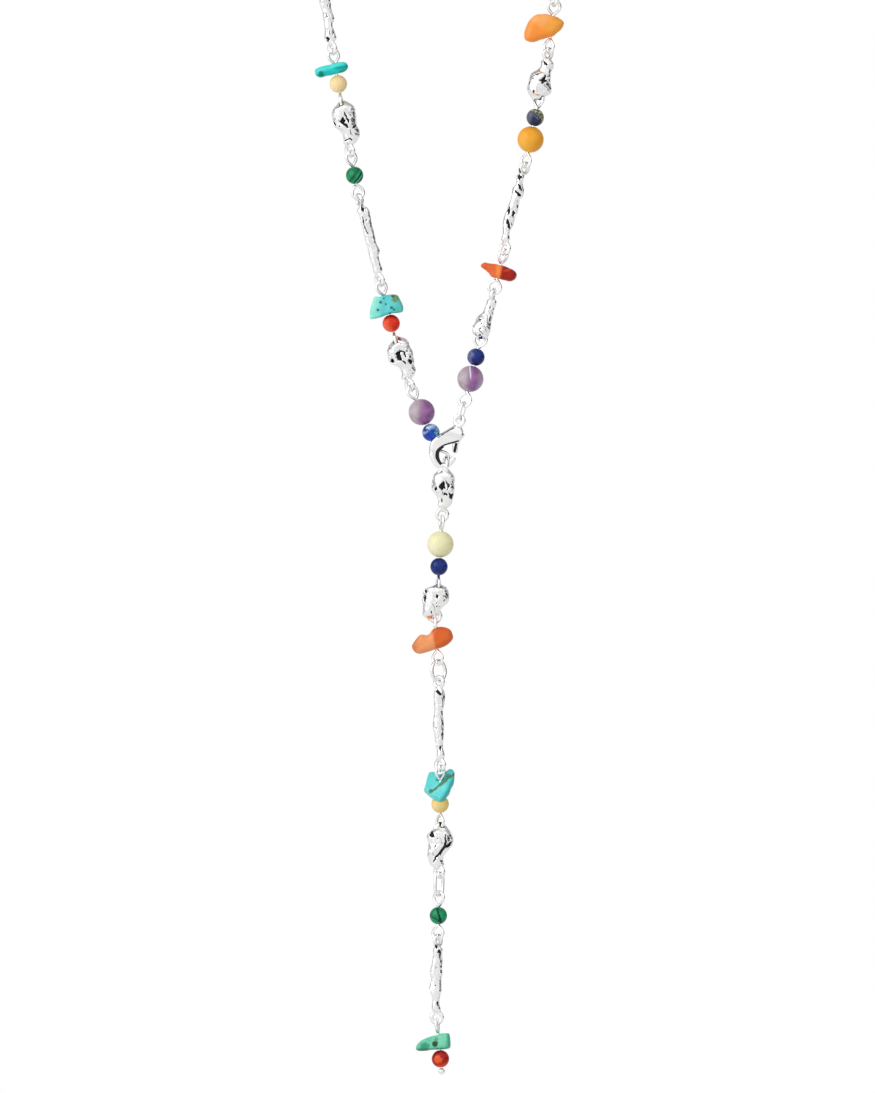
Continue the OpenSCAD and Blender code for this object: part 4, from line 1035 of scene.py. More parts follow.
def leaf(seed):
    """The leaf leans to the front over the bead below it, and is hollowed for that bead and the eye above."""
    ripple = random_waves(np.random.default_rng(seed), 3.2)
    a = math.radians(LEAF_LEAN)
    upslope = np.array([-math.cos(a), 0, math.sin(a)])
    through = np.array([math.sin(a), 0, math.cos(a)])
    height = STONE_HEIGHT["leaf"]
    eye = np.array([0, 0, height / 2 + STONE_GAP + NECK + EYE_OUTER / 2])
    t = math.radians(LEAF_EYE_TURN)
    eye_normal = np.array([math.cos(t), math.sin(t), 0])
    bead_r = STONE_HEIGHT["small"] / 2
    below = np.array([0, 0, -height / 2 - STONE_GAP - bead_r])

    def field(p):
        slope, off = p @ upslope, p @ through
        edge = polygon_field(np.stack([p[:, 1], slope], 1), LEAF) + LEAF_EDGE
        flat = np.abs(off - 0.1) - (LEAF_THICK / 2 - LEAF_EDGE) - LEAF_CROWN * np.clip(-edge, 0, 1.5)
        outside = np.hypot(np.maximum(edge, 0), np.maximum(flat, 0))
        f = np.minimum(np.maximum(edge, flat), 0) + outside - LEAF_EDGE + LEAF_WAVE * waves(p, ripple)
        f = soft_max(drilled(f, p), bead_r + STONE_GAP - np.linalg.norm(p - below, axis=1), HOLLOW_ROUND)
        d = p - eye
        off_eye = d @ eye_normal
        disc = np.sqrt(np.maximum((d ** 2).sum(1) - off_eye ** 2, 0)) - EYE_OUTER / 2 - SLOT_GAP
        room = soft_max(disc, np.abs(off_eye) - EYE_WIRE / 2 - SLOT_GAP, 0.1)
        return soft_max(f, -room, HOLLOW_ROUND)

    return surface(field, (-4.6, -4.6, -4.8), (4.4, 4.4, 4.8), LEAF_CELL)


# Radius of a bead's rims, and the angles of their points
RIM, RIM_ANGLES = 0.12, (0.35, 0.75, 1.2)


def bead(diameter):
    """A round bead with a bore whose rims are rounded, turned like a lathe piece."""
    around = 48
    r, b = diameter / 2, BORE_D / 2
    start = math.asin((b + RIM) / r)
    top = r * math.cos(start)
    rim = [(b + RIM - RIM * math.sin(a), top + 0.02 - RIM * (1 - math.cos(a))) for a in RIM_ANGLES]
    profile = [(r * math.sin(a), r * math.cos(a)) for a in np.linspace(start, math.pi - start, 25)]
    profile += [(x, -z) for x, z in rim] + [(b, -top + 1.3 * RIM), (b, 0), (b, top - 1.3 * RIM)] + rim[::-1]
    n = len(profile)
    verts = []
    for a in 2 * math.pi * np.arange(around) / around:
        verts += [(x * math.cos(a), x * math.sin(a), z) for x, z in profile]
    faces = []
    for j in range(around):
        m = (j + 1) % around
        for i in range(n):
            k = (i + 1) % n
            faces.append((j * n + i, j * n + k, m * n + k, m * n + i))
    return np.array(verts), faces


def stone_mesh(link, k, seed):
    """One of a link's stones round its own middle, in the link's frame."""
    node, kind = link.stones[k]
    height = STONE_HEIGHT[kind]
    hidden = node.startswith("back")
    if kind in SEEN_CHIPS and not hidden:
        beads = []
        for step in (-1, 1):
            if 0 <= k + step < len(link.stones) and link.stones[k + step][1] in BEADS:
                size = STONE_HEIGHT[link.stones[k + step][1]]
                beads.append((step * (height / 2 + STONE_GAP + size / 2), size / 2))
        verts, faces = seen_chip(link, kind, seed, beads)
        return verts, faces.tolist()
    if kind in BEADS:
        verts, faces = bead(height)
    else:
        verts, faces = chip(kind, seed) if hidden else leaf(seed)
        faces = faces.tolist()
    return verts * np.array([1, -1, -1]) if link.down else verts, faces


# Clasp
# Outline of the body in the clasp's frame, from the ring's left side down the arm, round the hook and back
CLASP_OUTLINE = [
    (-0.55, 9.6), (-1.25, 8.95), (-1.97, 8.24), (-3.17, 6.88), (-4.3, 5.6), (-4.85, 4.5), (-5.0, 3.6),
    (-4.85, 2.6), (-4.5, 1.5), (-3.9, 0.5), (-3.1, -0.35), (-2.3, -0.88), (-1.3, -1.15), (-0.4, -0.95),
    (0.5, -0.4), (1.15, 0.6), (1.6, 1.7), (1.6, 2.6), (1.25, 3.02), (0.85, 2.9), (0.5, 2.2), (0.1, 1.3),
    (-0.45, 0.62), (-1.1, 0.4), (-1.6, 0.75), (-2.1, 1.5), (-2.35, 2.4), (-2.2, 3.1), (-1.7, 3.85),
    (-0.96, 4.55), (0.1, 5.25), (1.0, 5.85), (1.5, 6.3), (1.78, 6.9), (1.88, 7.7), (1.65, 8.5),
    (1.15, 9.15), (0.55, 9.6),
]
# Half depth of the body at heights over the hook's bottom, and beside the hook's tip
CLASP_HALF_DEPTH = [(-1.2, 0.58), (0.5, 0.62), (2.7, 0.76), (4.2, 0.95), (5.5, 1.25), (6.7, 1.5), (7.7, 1.46),
                    (8.6, 1.18), (9.6, 0.7)]
TIP_HALF_DEPTH = 0.62
# How far in from its outline the body is rounded
CLASP_EDGE_R = 0.85
# Width of the painted dark reflection along the opening's inner edge, at heights
DARK_REFLECTION_BAND = [(0.2, 0.7), (1.0, 0.95), (2.6, 0.9), (4.0, 0.72), (5.2, 0.56), (6.3, 0.5)]
BAND_TOP, OPENING_MIDDLE = 6.6, np.array([-0.9, 2.3])
# The fine painted shade line on the bevel beside the outer edge: distance in from it, half width, height of its
# middle, half length
BEVEL_IN, BEVEL_HALF, BEVEL_UP, BEVEL_REACH = 0.5, 0.13, 7.2, 1.7
# A painted shadow spot at the notch: its middle and radius
NOTCH, NOTCH_R = (-4.7, 1.75), 0.24
PIVOT = np.array([0, 0.1 * CLASP_WIDTH, 0.63 * CLASP_LENGTH])
LEVER_TIP = np.array([0, (LEVER_TIP_SIDE - 0.1) * CLASP_WIDTH, (0.3 - 0.63) * CLASP_LENGTH])
PIVOT_EYE = PIVOT_D + 2 * PIVOT_GAP + 0.9
# Room for the lever: round its eye, along it, and to each side
PIVOT_ROOM, LEVER_ROOM, SLOT_HALF = PIVOT_EYE / 2 + LEVER_GAP, CLASP_LENGTH / 3, LEVER_DEPTH / 2 + LEVER_GAP
PAD_ANGLE, GROOVE = 50, (np.array([0, 0.05, -1.4]), np.array([0, 0.2, -3.0]))
GROOVE_R, GROOVE_FLOOR = 0.26, 0.25
CLASP_CELL, LEVER_CELL = 0.1, 0.09


def clasp_world(p):
    link = loop[-1]
    return link.world(np.array([0, 0, link.pitch]) + p * np.array([1, -1, -1]))


def lever_room(d):
    """Room for the lever, closed and swung in, in the clasp's plane round its pivot."""
    across, up = d[:, 1], d[:, 2]
    eye = np.hypot(across, up) - PIVOT_ROOM
    beside = np.minimum(np.maximum(-across, up - LEVER_ROOM / 2), np.maximum(-across - PIVOT_ROOM, up))
    closed = np.maximum(beside, -up - LEVER_ROOM)
    a = math.radians(LEVER_TRAVEL)
    along = -across * math.sin(a) - up * math.cos(a)
    side = across * math.cos(a) - up * math.sin(a)
    swung = np.maximum(np.maximum(-side - PIVOT_ROOM, -along), along - LEVER_ROOM)
    return np.minimum(np.minimum(eye, closed), swung)


def clasp_painted_shade_and_reflection(verts, outline):
    """Painted dark reflection along the opening's inner edge, painted shade inside the slot, a painted shade
    line on the bevel and a painted shadow at the notch.
    """
    q = verts[:, 1:]
    edge = outline.at(q)
    slope = np.stack([outline.at(q + 0.1 * e) - outline.at(q - 0.1 * e) for e in np.eye(2)], 1)
    steep = np.linalg.norm(slope, axis=1)
    towards = OPENING_MIDDLE - q
    facing = (slope * towards).sum(1) / np.maximum(steep * np.linalg.norm(towards, axis=1), 1e-6)
    wide = np.interp(q[:, 1], *np.array(DARK_REFLECTION_BAND).T)
    # Painted dark reflection along the opening's inner edge
    reflection_band = step_up(edge + wide, 0.0, 0.1) * step_up(facing, 0.2, 0.5) * (q[:, 1] < BAND_TOP) \
        * step_up(q[:, 1] - 1.4 * q[:, 0], 1.4, 2.0)
    outer = slope @ np.array([-0.7, 0.7]) / np.maximum(steep, 1e-6)
    # Painted shade line on the bevel
    bevel = (np.abs(edge + BEVEL_IN) < BEVEL_HALF) * step_up(outer, 0.6, 0.8) \
        * (np.abs(q[:, 1] - BEVEL_UP) < BEVEL_REACH) * (verts[:, 0] > 0)
    # Painted shadow at the notch
    notch = np.linalg.norm(q - NOTCH, axis=1) < NOTCH_R
    # Painted shade inside the lever's slot
    d = verts - PIVOT
    slot_shade = (np.abs(d[:, 0]) < SLOT_HALF + 0.03) * (d[:, 1] > -PIVOT_ROOM - 0.1) \
        * (np.abs(d[:, 2] + 0.8) < 2.7)
    return np.maximum.reduce([reflection_band, 0.7 * bevel, 0.7 * notch, 0.8 * slot_shade])


def clasp_body():
    outline = FlatField(round_outline(CLASP_OUTLINE), (-6, -2.4), (3.6, 13))
    heights, depths = np.array(CLASP_HALF_DEPTH).T
    turn = math.radians(-(loop[-2].turn + 90))
    ring = np.array([0, 0, CLASP_LENGTH]), np.array([math.cos(turn), math.sin(turn), 0])

    def field(p):
        deep = np.interp(p[:, 2], heights, depths)
        deep = np.where((p[:, 1] > -0.6) & (p[:, 2] < 3.4), TIP_HALF_DEPTH, deep)
        body = pillow(outline.at(p[:, 1:]), p[:, 0], CLASP_EDGE_R, deep, 2.3, 0.62)
        d = p - PIVOT
        body = soft_max(body, -np.maximum(lever_room(d), np.abs(p[:, 0]) - SLOT_HALF), 0.1)
        pivot = soft_max(np.hypot(d[:, 1], d[:, 2]) - PIVOT_D / 2, np.abs(p[:, 0]) - deep * 0.98, 0.1)
        return soft_min(np.minimum(body, pivot), ring_field(p, *ring, CLASP_RING_R, CLASP_RING_WIRE), 0.35)

    verts, faces = surface(field, (-2.0, -5.3, -1.5), (2.0, 2.6, CLASP_LENGTH + 1.7), CLASP_CELL)
    # The clasp's painted shade and dark reflection go into the same darkening attribute as the patina
    return clasp_world(verts), faces.tolist(), clasp_painted_shade_and_reflection(verts, outline)


def taper_field(p, a, b, first, last):
    """A round bar whose radius changes along it."""
    d, ab = p - a, b - a
    t = np.clip(d @ ab / (ab @ ab), 0, 1)
    return np.linalg.norm(d - t[:, None] * ab, axis=1) - (first + (last - first) * t)


def clasp_lever():
    pivot, half_width = np.zeros(3), LEVER_WIDTH / 2
    half = np.array([0, LEVER_TIP[1] / 2 + LEVER_BOW, LEVER_TIP[2] / 2])
    end = LEVER_TIP + np.array([0, 0, half_width])
    a = math.radians(PAD_ANGLE)
    pad = LEVER_PAD * np.array([0, math.cos(a), math.sin(a)])

    def field(p):
        flat = p * np.array([0, 1, 1])
        far = np.linalg.norm(flat, axis=1)
        f = soft_min(far - PIVOT_EYE / 2, taper_field(flat, pivot, half, PIVOT_EYE / 2, half_width), 0.15)
        f = soft_min(f, taper_field(flat, half, end, half_width, half_width - 0.05), 0.1)
        f = soft_min(f, capsule_field(flat, pivot, pad, LEVER_PAD_WIDTH / 2), 0.15)
        f = pillow(f, p[:, 0], 0.5, LEVER_DEPTH / 2, 2.4, 0.5)
        f = soft_max(f, -np.maximum(capsule_field(flat, *GROOVE, GROOVE_R), GROOVE_FLOOR - p[:, 0]), 0.1)
        return soft_max(f, PIVOT_D / 2 + PIVOT_GAP - far, 0.03)

    verts, faces = surface(field, (-0.9, -1.6, -4.2), (0.9, 2.2, 2.2), LEVER_CELL)
    # The groove is painted black as shade
    black = (capsule_field(verts * np.array([0, 1, 1]), *GROOVE, GROOVE_R + 0.06) < 0) & (verts[:, 0] > 0.1)
    return clasp_world(verts + PIVOT), faces.tolist(), black.astype(float)


# Materials
class Nodes:
    """Short calls for building the nodes of one tree. Its place is the coordinate that they work from."""

    def __init__(self, tree, coordinate):
        self.tree = tree
        self.place = self.new("TexCoord").outputs[coordinate]

    def new(self, kind, **values):
        node = self.tree.nodes.new("ShaderNode" + kind)
        for key, value in values.items():
            if hasattr(node, key):
                setattr(node, key, value)
            else:
                self.link(value, node.inputs[key.replace("_", " ")])
        return node

    def link(self, value, socket):
        if isinstance(value, bpy.types.NodeSocket):
            self.tree.links.new(value, socket)
        else:
            socket.default_value = value

    def vector(self, operation, other=(0, 0, 0), **values):
        """The place, changed by one vector."""
        node = self.new("VectorMath", operation=operation, **values)
        self.link(self.place, node.inputs[0])
        node.inputs[1].default_value = other
        return node.outputs["Value" if operation == "DOT_PRODUCT" else "Vector"]

    def along(self, direction):
        return self.vector("DOT_PRODUCT", direction)

    def math(self, operation, *values):
        node = self.new("Math", operation=operation)
        for value, socket in zip(values, node.inputs):
            self.link(value, socket)
        return node.outputs[0]

    def ramp(self, value, *stops):
        """A ramp whose stops are colours or grey levels."""
        node = self.new("ValToRGB")
        self.link(value, node.inputs[0])
        elements = node.color_ramp.elements
        while len(elements) < len(stops):
            elements.new(0.5)
        for element, (place, colour) in zip(elements, stops):
            element.position = place
            element.color = (*np.broadcast_to(colour, 3), 1)
        return node.outputs[0]

    def smooth(self, value, start, end):
        """0 to 1 where a value goes from start to end."""
        node = self.new("MapRange", interpolation_type="SMOOTHSTEP")
        for given, socket in zip((value, start, end), node.inputs):
            self.link(given, socket)
        return node.outputs[0]


class Material(Nodes):
    """One material, worked out in millimetres from a middle."""

    def __init__(self, name, middle=(0, 0, 0)):
        self.material = bpy.data.materials.new(name)
        self.material.use_nodes = True
        super().__init__(self.material.node_tree, "Object")
        self.shader = self.tree.nodes["Principled BSDF"]
        self.place = self.vector("SCALE", Scale=1 / MM)
        self.place = self.vector("SUBTRACT", tuple(float(v) for v in middle))

    def noise(self, scale, detail=2.0, roughness=0.5, distortion=0.0, offset=(0, 0, 0)):
        node = self.new("TexNoise", Scale=scale, Detail=detail, Roughness=roughness, Distortion=distortion,
                        Vector=self.vector("ADD", offset))
        return node.outputs["Fac"]

    def mix(self, share, a, b):
        node = self.new("Mix", data_type="RGBA")
        self.link(share, node.inputs[0])
        for value, socket in ((a, node.inputs[6]), (b, node.inputs[7])):
            self.link(value if isinstance(value, bpy.types.NodeSocket) else (*value, 1), socket)
        return node.outputs[2]

    def finish(self, **values):
        for key, value in values.items():
            self.link(value, self.shader.inputs[key.replace("_", " ")])
        return self.material


def srgb(rgb):
    """A colour seen in the photograph, 0 to 255, as scene light."""
    return tuple((c / 255 / 12.92) if c <= 10 else ((c / 255 + 0.055) / 1.055) ** 2.4 for c in rgb)


def silver():
    """Cast silver, black where a mesh's darkening value says so: patina in the castings' creases, painted shade
    in the knots' pockets, and painted shade and dark reflection on the clasp and its lever.
    """
    n = Material("cast_silver")
    # The attribute holds patina and also painted shade and dark reflection
    tarnish = n.new("Attribute", attribute_name="tarnish").outputs["Fac"]
    grain = n.noise(3.0, 3.0, 0.6)
    tarnish_and_shade_level = n.math("ADD", tarnish, n.math("MULTIPLY", n.math("SUBTRACT", grain, 0.5), 0.4))
    black = n.ramp(tarnish_and_shade_level, (0.3, 0.0), (0.62, 1.0))
    rough = n.math("ADD", n.math("MULTIPLY", grain, 0.12), 0.06)
    return n.finish(Base_Color=n.mix(black, (0.96, 0.96, 0.955), (0.012, 0.012, 0.014)),
                    Metallic=n.math("SUBTRACT", 1.0, n.math("MULTIPLY", black, 0.6)),
                    Roughness=n.math("ADD", n.math("MULTIPLY", black, 0.35), rough))


class Stone(Material):
    """One polished stone, painted step by step. Colours are those of the photograph, 0 to 255."""

    def clouds(self, noise, start, low, end, high):
        """The stone's own two colours, mixed by noise."""
        self.colour = self.ramp(noise, (start, srgb(low)), (end, srgb(high)))

    def paint(self, colour, mask, strength=1.0):
        if strength != 1.0:
            mask = self.math("MULTIPLY", mask, strength)
        self.colour = self.mix(mask, self.colour, srgb(colour))

    def both(self, a, b):
        return self.math("MULTIPLY", a, b)

    def side(self, direction, start, end):
        """0 to 1 along a direction, between two distances from the middle."""
        return self.smooth(self.along(direction), start, end)

    def spots(self, scale, start, end, offset=(0, 0, 0), detail=3.0, distortion=0.4):
        return self.ramp(self.noise(scale, detail, 0.55, distortion, offset), (start, 0.0), (end, 1.0))

    def bands(self, direction, width, distortion, start, end, offset=0.0):
        """Stripes across a direction, bent by noise."""
        bent = self.math("MULTIPLY_ADD", self.noise(0.5), distortion, offset)
        place = self.math("ADD", self.along(direction), bent)
        return self.smooth(self.math("SINE", self.math("MULTIPLY", place, math.pi / width)), start, end)

    def vein(self, direction, offset, half, wobble=0.5):
        """1 along a bent sheet through the stone, square to a direction."""
        bent = self.math("MULTIPLY_ADD", self.noise(0.7, 3.0), wobble, -offset - wobble / 2)
        off = self.math("ABSOLUTE", self.math("ADD", self.along(direction), bent))
        return self.smooth(off, half, half * 0.4)

    def dot(self, across, up, radius):
        """1 inside a round spot that is seen from the front, at a place in millimetres from the middle."""
        parts = self.new("SeparateXYZ", Vector=self.place).outputs
        sides = [self.math("POWER", self.math("SUBTRACT", part, at), 2.0)
                 for part, at in ((parts[0], across), (parts[2], up))]
        far = self.math("SQRT", self.math("ADD", *sides))
        bent = self.math("MULTIPLY", self.math("SUBTRACT", self.noise(1.6), 0.5), radius)
        return self.smooth(self.math("ADD", far, bent), radius, 0.55 * radius)

    def polish(self, rough=0.2, shine=0.1):
        bump = self.new("Bump", Strength=0.12, Distance=0.03 * MM, Height=self.noise(0.9, 1.0))
        return self.finish(Base_Color=self.colour, Roughness=rough, Specular_IOR_Level=0.22,
                           Coat_Weight=shine, Coat_Roughness=0.1, Normal=bump.outputs[0])


SILVER = silver()
LEFT, RIGHT, UP, DOWN = (-1, 0, 0), (1, 0, 0), (0, 0, 1), (0, 0, -1)


def lapis(s, kind):
    s.clouds(s.noise(0.5, 2.0, 0.5, 0.3), 0.35, (6, 22, 84), 0.65, (14, 48, 132))
    if kind == "left_lapis_bead":
        s.paint((14, 66, 178), s.spots(0.6, 0.40, 0.6, (3, 1, 2), 2.0))
        s.paint((176, 208, 236),
                s.both(s.spots(0.8, 0.44, 0.58, (5, 0, 1), 2.0), s.side((-0.5, 0, 0.86), 0.0, 1.2)))
        s.paint((110, 190, 210),
                s.both(s.spots(0.9, 0.44, 0.58, (1, 4, 3), 2.0), s.side((0.9, 0, -0.3), 0.3, 1.3)))
    elif kind == "right_lapis_bead_2":
        # The stone's greyish mottling, kept to the left side as a painted sheen of the light
        s.paint((120, 126, 158),
                s.both(s.spots(0.9, 0.4, 0.62, (2, 0, 5), 2.0), s.side(LEFT, -0.2, 1.4)), 0.7)
    elif kind.startswith("back"):
        s.paint((120, 140, 190), s.spots(0.8, 0.6, 0.72), 0.6)
    return s.polish(0.15)


def grey_lapis(s, kind):
    s.clouds(s.noise(0.6, 2.0, 0.5, 0.3), 0.36, (26, 32, 62), 0.62, (66, 74, 106))
    # Painted sheen of the light: greyer towards the left
    s.paint((112, 114, 124), s.side((-0.9, 0, 0.3), 0.2, 1.7), 0.6)
    flecks = s.both(s.spots(2.2, 0.5, 0.58, (0, 0, 0), 1.0), s.side((0.6, 0, 0.6), -0.1, 0.8))
    s.paint((186, 184, 96), flecks, 0.9)
    return s.polish(0.25)


def malachite(s, kind):
    s.clouds(s.noise(0.35, 2.0, 0.5, 0.5), 0.35, (0, 104, 66), 0.65, (4, 152, 98))
    if kind == "drop_malachite_bead":
        s.paint((0, 44, 32), s.vein((0.97, 0, 0.2), 0.1, 0.4, 1.2))
        s.paint((0, 50, 34), s.vein((0.55, 0, 0.83), -1.0, 0.24, 0.8), 0.8)
    else:
        s.paint((0, 48, 34),
                s.both(s.bands((0.78, 0.1, -0.6), 0.42, 0.5, 0.1, 0.7), s.side((0.7, 0, -0.6), -0.3, 0.5)))
        s.paint((0, 62, 44), s.bands((0.78, 0.1, -0.6), 0.9, 0.5, 0.55, 0.95, 0.5), 0.7)
        s.paint((96, 200, 150), s.vein((0.78, 0.1, -0.6), 1.2, 0.12, 0.2), 0.8)
    return s.polish(0.15)


def amethyst(s, kind):
    s.clouds(s.noise(0.3, 2.0, 0.5, 0.5), 0.34, (122, 76, 128), 0.66, (156, 108, 158))
    # Painted sheen of the light: grey-mauve towards the left
    s.paint((166, 150, 158), s.side((-0.95, 0, 0.2), -0.5, 1.3), 0.9)
    # Painted sheen of the light: pale patches on the lower left
    s.paint((196, 186, 192),
            s.both(s.spots(0.4, 0.42, 0.62, (1, 7, 2), 1.0), s.side((-0.9, 0, -0.3), 0.2, 2.0)), 0.6)
    # Darker purple mottling on the right, deepened as painted shade
    s.paint((108, 62, 118),
            s.both(s.spots(0.4, 0.45, 0.62, (8, 0, 3), 1.0), s.side(RIGHT, 0.2, 2.2)), 0.7)
    if kind == "right_amethyst_bead":
        s.paint((196, 188, 204), s.side((0.95, 0, -0.2), 1.0, 2.6), 0.5)
        s.paint((232, 216, 230),
                s.both(s.vein((1, 0, 0.08), 0.1, 0.22, 0.25), s.side(UP, -0.6, 0.8)), 0.9)
    return s.polish(0.12)


def carnelian(s, kind):
    if kind == "drop_carnelian_bead":
        s.clouds(s.noise(0.5, 2.0, 0.5, 0.4), 0.36, (136, 8, 4), 0.64, (178, 20, 8))
        # Painted light glowing through the stone: a bright spot left of the middle and a lighter bottom
        s.paint((240, 96, 44), s.dot(-0.5, -0.2, 1.15), 0.75)
        s.paint((226, 60, 14), s.side((0.3, 0, -0.95), 0.6, 1.8), 0.8)
    else:
        s.clouds(s.noise(0.5, 2.0, 0.5, 0.4), 0.36, (198, 26, 6), 0.64, (222, 48, 14))
        # Painted light glowing through the stone towards the lower left
        s.paint((238, 104, 70), s.side((-0.8, 0, -0.6), 0.0, 1.6), 0.8)
        # Painted shade towards the upper right
        s.paint((170, 8, 0), s.side((0.3, 0, 0.95), 0.9, 1.8), 0.8)
    return s.polish(0.15)


def plain(low, high, sheen_colour):
    """A stone of one colour with soft clouds in it, and a painted sheen of the light that makes it paler to the
    left.
    """
    def make(s, kind):
        s.clouds(s.noise(0.3, 1.0, 0.5, 0.3), 0.34, low, 0.66, high)
        # Painted sheen of the light to the lower left
        s.paint(sheen_colour, s.side((-0.85, 0, -0.5), -0.3, 2.0), 0.6)
        return s.polish(0.3, 0.03)
    return make


def stick(s, kind):
    s.clouds(s.noise(0.35, 2.0), 0.35, (0, 172, 168), 0.65, (20, 202, 196))
    # Painted light: paler towards the top
    s.paint((90, 226, 222), s.side((-0.35, 0, 0.94), 0.2, 1.0), 0.6)
    s.paint((0, 140, 134), s.both(s.vein((-0.2, 0, 0.98), 0.25, 0.5, 0.3), s.side(RIGHT, -0.9, 0.6)), 0.8)
    s.paint((30, 140, 104), s.both(s.side((0.2, 0, -0.98), -0.1, 0.7), s.side(RIGHT, 0.2, 1.4)), 0.8)
    s.paint((0, 112, 84), s.dot(-3.3, -0.95, 0.8), 0.9)
    return s.polish(0.25, 0.05)


def block(s, kind):
    s.clouds(s.noise(0.3, 2.0), 0.35, (66, 182, 190), 0.65, (98, 206, 206))
    # Painted sheen of the light: paler towards the left
    s.paint((140, 228, 208), s.side((-0.97, 0, 0.1), 0.5, 2.4), 0.9)
    s.paint((104, 136, 84), s.dot(2.05, 1.6, 1.15), 0.95)
    s.paint((52, 84, 56), s.dot(1.45, 2.1, 0.5), 0.9)
    s.paint((86, 180, 168), s.side((0.97, 0, -0.2), 1.6, 2.8), 0.7)
    for across, up, size in ((-1.3, 0.65, 0.42), (-0.1, 0.25, 0.3), (-1.9, -1.15, 0.4), (1.2, -0.55, 0.45),
                             (1.75, -1.0, 0.32), (0.9, -1.9, 0.45), (-0.6, 1.5, 0.25)):
        s.paint((52, 92, 70), s.dot(across, up, size), 0.9)
    if not kind.startswith("left"):
        s.paint((84, 105, 64), s.spots(0.9, 0.58, 0.66, (5, 5, 5), 2.0), 0.8)
    return s.polish(0.28, 0.04)


def leaf_stone(s, kind):
    s.clouds(s.noise(0.3, 2.0), 0.35, (88, 204, 204), 0.65, (112, 220, 218))
    s.paint((30, 168, 160), s.side((0.9, 0, -0.42), 0.9, 1.9), 0.85)
    s.paint((84, 112, 60),
            s.both(s.vein((-0.62, 0, 0.78), 0.55, 0.36, 0.9), s.side((-0.78, 0, -0.62), 3.4, 1.8)), 0.9)
    s.paint((70, 124, 84), s.dot(2.0, 2.6, 0.75), 0.8)
    s.paint((66, 116, 70), s.dot(-2.1, -0.6, 0.6), 0.8)
    return s.polish(0.28, 0.04)


def drop_stone(s, kind):
    s.clouds(s.noise(0.3, 2.0), 0.35, (84, 188, 152), 0.65, (122, 212, 180))
    s.paint((44, 142, 108), s.dot(-3.2, -1.2, 1.3), 0.8)
    s.paint((62, 156, 132), s.side(RIGHT, 1.3, 2.2), 0.8)
    s.paint((36, 62, 30), s.dot(-0.85, -0.5, 0.85), 0.95)
    s.paint((110, 128, 66), s.dot(-0.6, 0.6, 0.6), 0.6)
    s.paint((28, 92, 66), s.side(DOWN, 1.3, 2.0), 0.8)
    return s.polish(0.25, 0.04)


def bean(s, kind):
    s.clouds(s.noise(0.25, 1.0), 0.35, (228, 146, 44), 0.65, (236, 158, 60))
    # Painted sheen of the light: paler towards the upper left
    s.paint((244, 168, 98), s.side((-0.75, 0, 0.66), 0.2, 2.4), 0.8)
    s.paint((244, 140, 48), s.side((-0.5, 0, -0.86), 0.5, 1.8), 0.8)
    return s.polish(0.25, 0.05)


def dart(s, kind):
    s.clouds(s.noise(0.35, 1.0), 0.35, (222, 92, 40), 0.65, (230, 112, 58))
    s.paint((240, 138, 60), s.both(s.side(RIGHT, -1.0, -0.3), s.side(LEFT, -0.7, 0.1)), 0.8)
    s.paint((156, 22, 8), s.side((0.97, 0, -0.2), 0.1, 0.9))
    # Painted highlight streak across the dark right part
    s.paint((206, 74, 48), s.both(s.vein((-0.3, 0, 0.95), -0.2, 0.3, 0.6), s.side(RIGHT, 0.6, 1.6)), 0.7)
    return s.polish(0.2, 0.08)


def lobe(s, kind):
    s.clouds(s.noise(0.3, 1.0), 0.35, (202, 84, 26), 0.65, (214, 100, 40))
    # Painted sheen of the light: paler towards the left
    s.paint((238, 158, 104), s.side((-0.97, 0, -0.2), 0.1, 1.0), 0.85)
    s.paint((196, 104, 58), s.side((-0.97, 0, 0.2), 3.4, 4.6), 0.7)
    return s.polish(0.22, 0.05)


STONE_FINISHES = {
    "turquoise_green": stick, "turquoise": block, "turquoise_leaf": leaf_stone, "turquoise_drop": drop_stone,
    "amber_bean": bean, "orange": dart, "peach": lobe, "lapis": lapis, "grey_lapis": grey_lapis,
    "malachite": malachite, "amethyst": amethyst, "carnelian": carnelian, "dark_carnelian": carnelian,
    "cream": plain((226, 196, 138), (234, 208, 154), (244, 222, 180)),
    "honey_cream": plain((218, 188, 104), (230, 202, 126), (236, 214, 156)),
    "pale_cream": plain((222, 218, 168), (230, 226, 182), (234, 230, 194)),
    "yellow": plain((226, 150, 28), (234, 164, 46), (238, 176, 74)),
}
SLOT_OF = {p["node"]: p["material_slot"] for p in frame["record"]["subparts"]}


# Pieces
metal, stones = {}, {}
for link in loop + drop:
    gathered = metal.setdefault(link.node, Mesh())
    if link.kind in PINS:
        for wire in pin(link):
            gathered.add(*wire)
    elif link.kind in BARS + KNOTS:
        gathered.add(*Casting(link).mesh(HIDDEN_CAST_CELL if link.node in HIDDEN_LIKE else CAST_CELL))
    elif link.kind == "jump":
        gathered.add(*open_ring(link, JUMP_OUTER, JUMP_OUTER, JUMP_WIRE))
    elif link.kind == "oval":
        gathered.add(*open_ring(link, OVAL_LENGTH, OVAL_WIDTH, OVAL_WIRE))
    elif link.kind == "link":
        gathered.add(*open_ring(link, LINK_LENGTH, LINK_WIDTH, OVAL_WIRE))
    else:
        gathered.add(*clasp_body())
    top = link.seat
    for k, (node, kind) in enumerate(link.stones):
        middle = np.array([0, 0, top + STONE_GAP + STONE_HEIGHT[kind] / 2])
        top += STONE_HEIGHT[kind] + STONE_GAP
        shape = stones.setdefault(node, Mesh())
        verts, faces = stone_mesh(link, k, len(node) + shape.count)
        shape.middle = link.world(middle)
        shape.add(link.world(middle + verts), faces)

